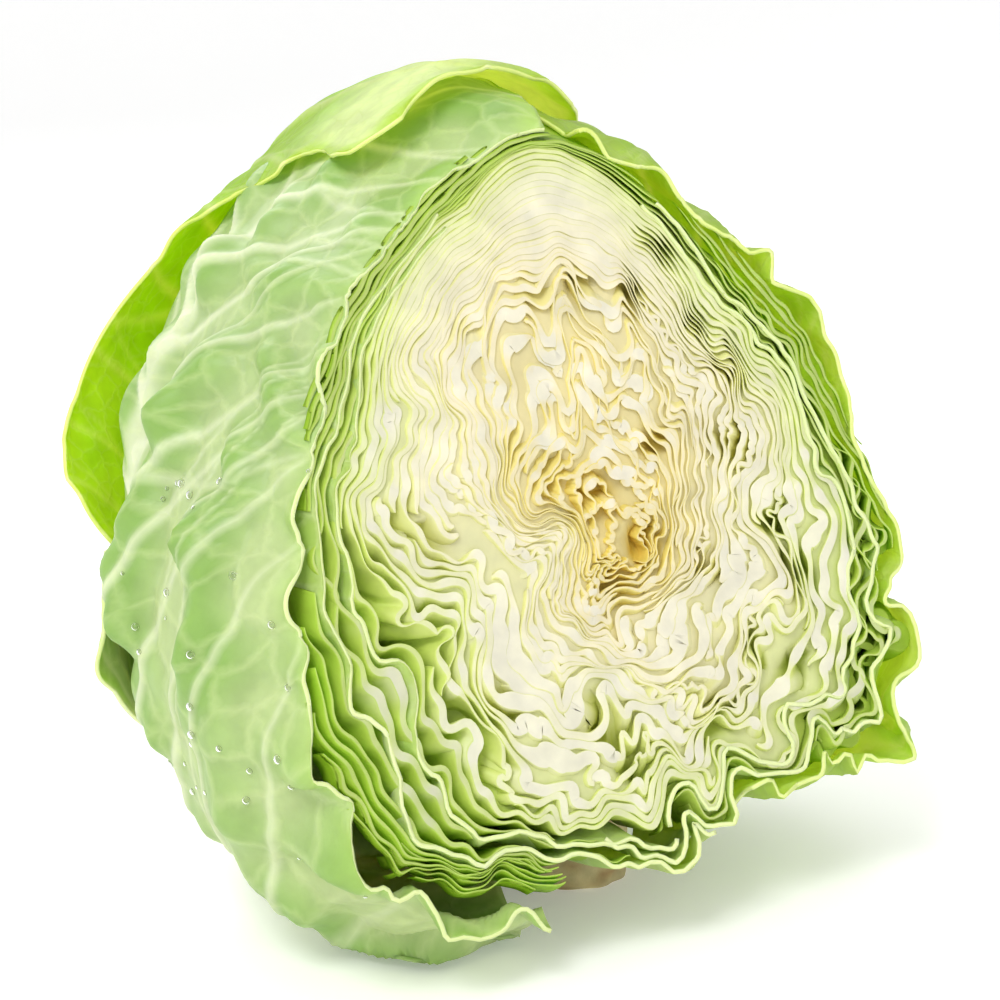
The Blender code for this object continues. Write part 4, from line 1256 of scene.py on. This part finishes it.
# Paler than the other bright leaves: partly its own colour, partly painted light that lifts its inner face
# out of the head's shade
RIGHT_LEAF = {
    **BRIGHT, "seed": 21, "high": (0.88, 0.95, 0.50), "low": (0.91, 0.96, 0.66),
    "cloud": (0.78, 0.91, 0.38), "clouding": 0.75, "vein": (0.97, 0.985, 0.82), "vein_paint": 0.9,
    "vein_mm": 0.9, "pucker_mm": 1.2, "wave_mm": 1.0, "veins": 22, "vein_step": 20, "lowest_mm": -0.4,
}
LEFT_LEAF = {
    **WAXY, "seed": 22, "vein_mm": 1.6, "pucker_mm": 2.8, "wave_mm": 2.3, "veins": 22, "vein_step": 22,
    "slope": 0.95, "covered_from": 0.30, "lowest_mm": -1.1, "flat_tip": 0.75,
}
# Its near-white tip is partly its own pale colour and partly painted light that lifts the rolled tip out of
# its shade
BACK_LEFT_LEAF = {
    **BRIGHT, "seed": 23, "trim": back_left_trim, "tip": (0.97, 1.0, 0.80), "lowest_mm": -0.2,
    "vein": (0.95, 0.98, 0.70), "vein_paint": 0.9, "vein_mm": 0.5, "pucker_mm": 0.35, "wave_mm": 0.35,
}
BACK_LEAF = {**WAXY, "seed": 24, "lowest_mm": -0.2}
LOW_LEAF = {**WAXY, "seed": 25, "trim": low_trim, "lowest_mm": -0.2}
for name, azimuth, level, end, widest, grid, looks, lift, root, slot in (
    ("wrapper_leaf_right", 6, 0.994, 171, 76, (230, 200), RIGHT_LEAF, right_lift, CLASPING_ROOT,
     "bright_blade"),
    ("wrapper_leaf_left", 162, 1.029, 190, 81, (236, 206), LEFT_LEAF, None, BROAD_ROOT, "pale_blade"),
    ("wrapper_leaf_back_left", 108, 1.059, 186, 47, (180, 230), BACK_LEFT_LEAF, back_left_lift, NARROW_ROOT,
     "bright_blade"),
    ("wrapper_leaf_back", 54, 1.090, 150, 48, (150, 170), BACK_LEAF, None, NARROW_ROOT, "pale_blade"),
    ("wrapper_leaf_low", 139, 1.090, 86, 30, (110, 120), LOW_LEAF, low_lift, NARROW_ROOT, "pale_blade"),
):
    leaf = blade_sheet(name + "_blade", azimuth, level, end, widest, grid, looks, lift, root)
    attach(leaf, "root")
    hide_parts(name)
    if name == "wrapper_leaf_left":
        wet_leaf = leaf.data

# Water. Small drops of washing water stand on the lower half of the left wrapper, where they ran together
# on its wax; each is a flattened bead.
DROPS = 34
DROP_RADII_MM = (0.45, 1.25)
DROP_FLATNESS = 0.62
DROP_RISE = 0.30
DROP_HEIGHTS = (0.03, 0.125)
DROPS_LEFT_OF = -0.060
DROPS_BEFORE = -0.01
DROP_ROWS = 6
DROP_COLUMNS = 14
drop_draw = random.Random(77)
wet_places = [
    vertex for vertex in wet_leaf.vertices
    if DROP_HEIGHTS[0] < vertex.co.z < DROP_HEIGHTS[1]
    and vertex.co.x < DROPS_LEFT_OF and vertex.co.y < DROPS_BEFORE
]
drop_points, drop_faces = [], []
for vertex in drop_draw.sample(wet_places, DROPS):
    outward = vertex.normal if vertex.normal.dot(vertex.co - Vector(MIDDLE)) > 0 else -vertex.normal
    turn = outward.to_track_quat("Z", "Y")
    radius = drop_draw.uniform(*DROP_RADII_MM) / 1000
    start = len(drop_points)
    for row in range(DROP_ROWS):
        swing = (row + 0.5) / DROP_ROWS * math.pi
        for column in range(DROP_COLUMNS):
            round_it = column / DROP_COLUMNS * TURN
            local = Vector((
                radius * math.sin(swing) * math.cos(round_it),
                radius * math.sin(swing) * math.sin(round_it),
                DROP_FLATNESS * radius * math.cos(swing) + DROP_RISE * radius + BLADE / 2,
            ))
            drop_points.append(vertex.co + turn @ local)
    drop_faces.extend(capped(DROP_ROWS, DROP_COLUMNS, start))
drops = mesh_of("water_drops", np.array(drop_points), drop_faces, np.ones(3))
water = bpy.data.materials.new("clear water")
water.use_nodes = True
water_shader = water.node_tree.nodes["Principled BSDF"]
water_shader.inputs["Roughness"].default_value = 0.02
water_shader.inputs["IOR"].default_value = 1.33
water_shader.inputs["Transmission Weight"].default_value = 1.0
drops.data.materials.append(water)
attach(drops, "root")
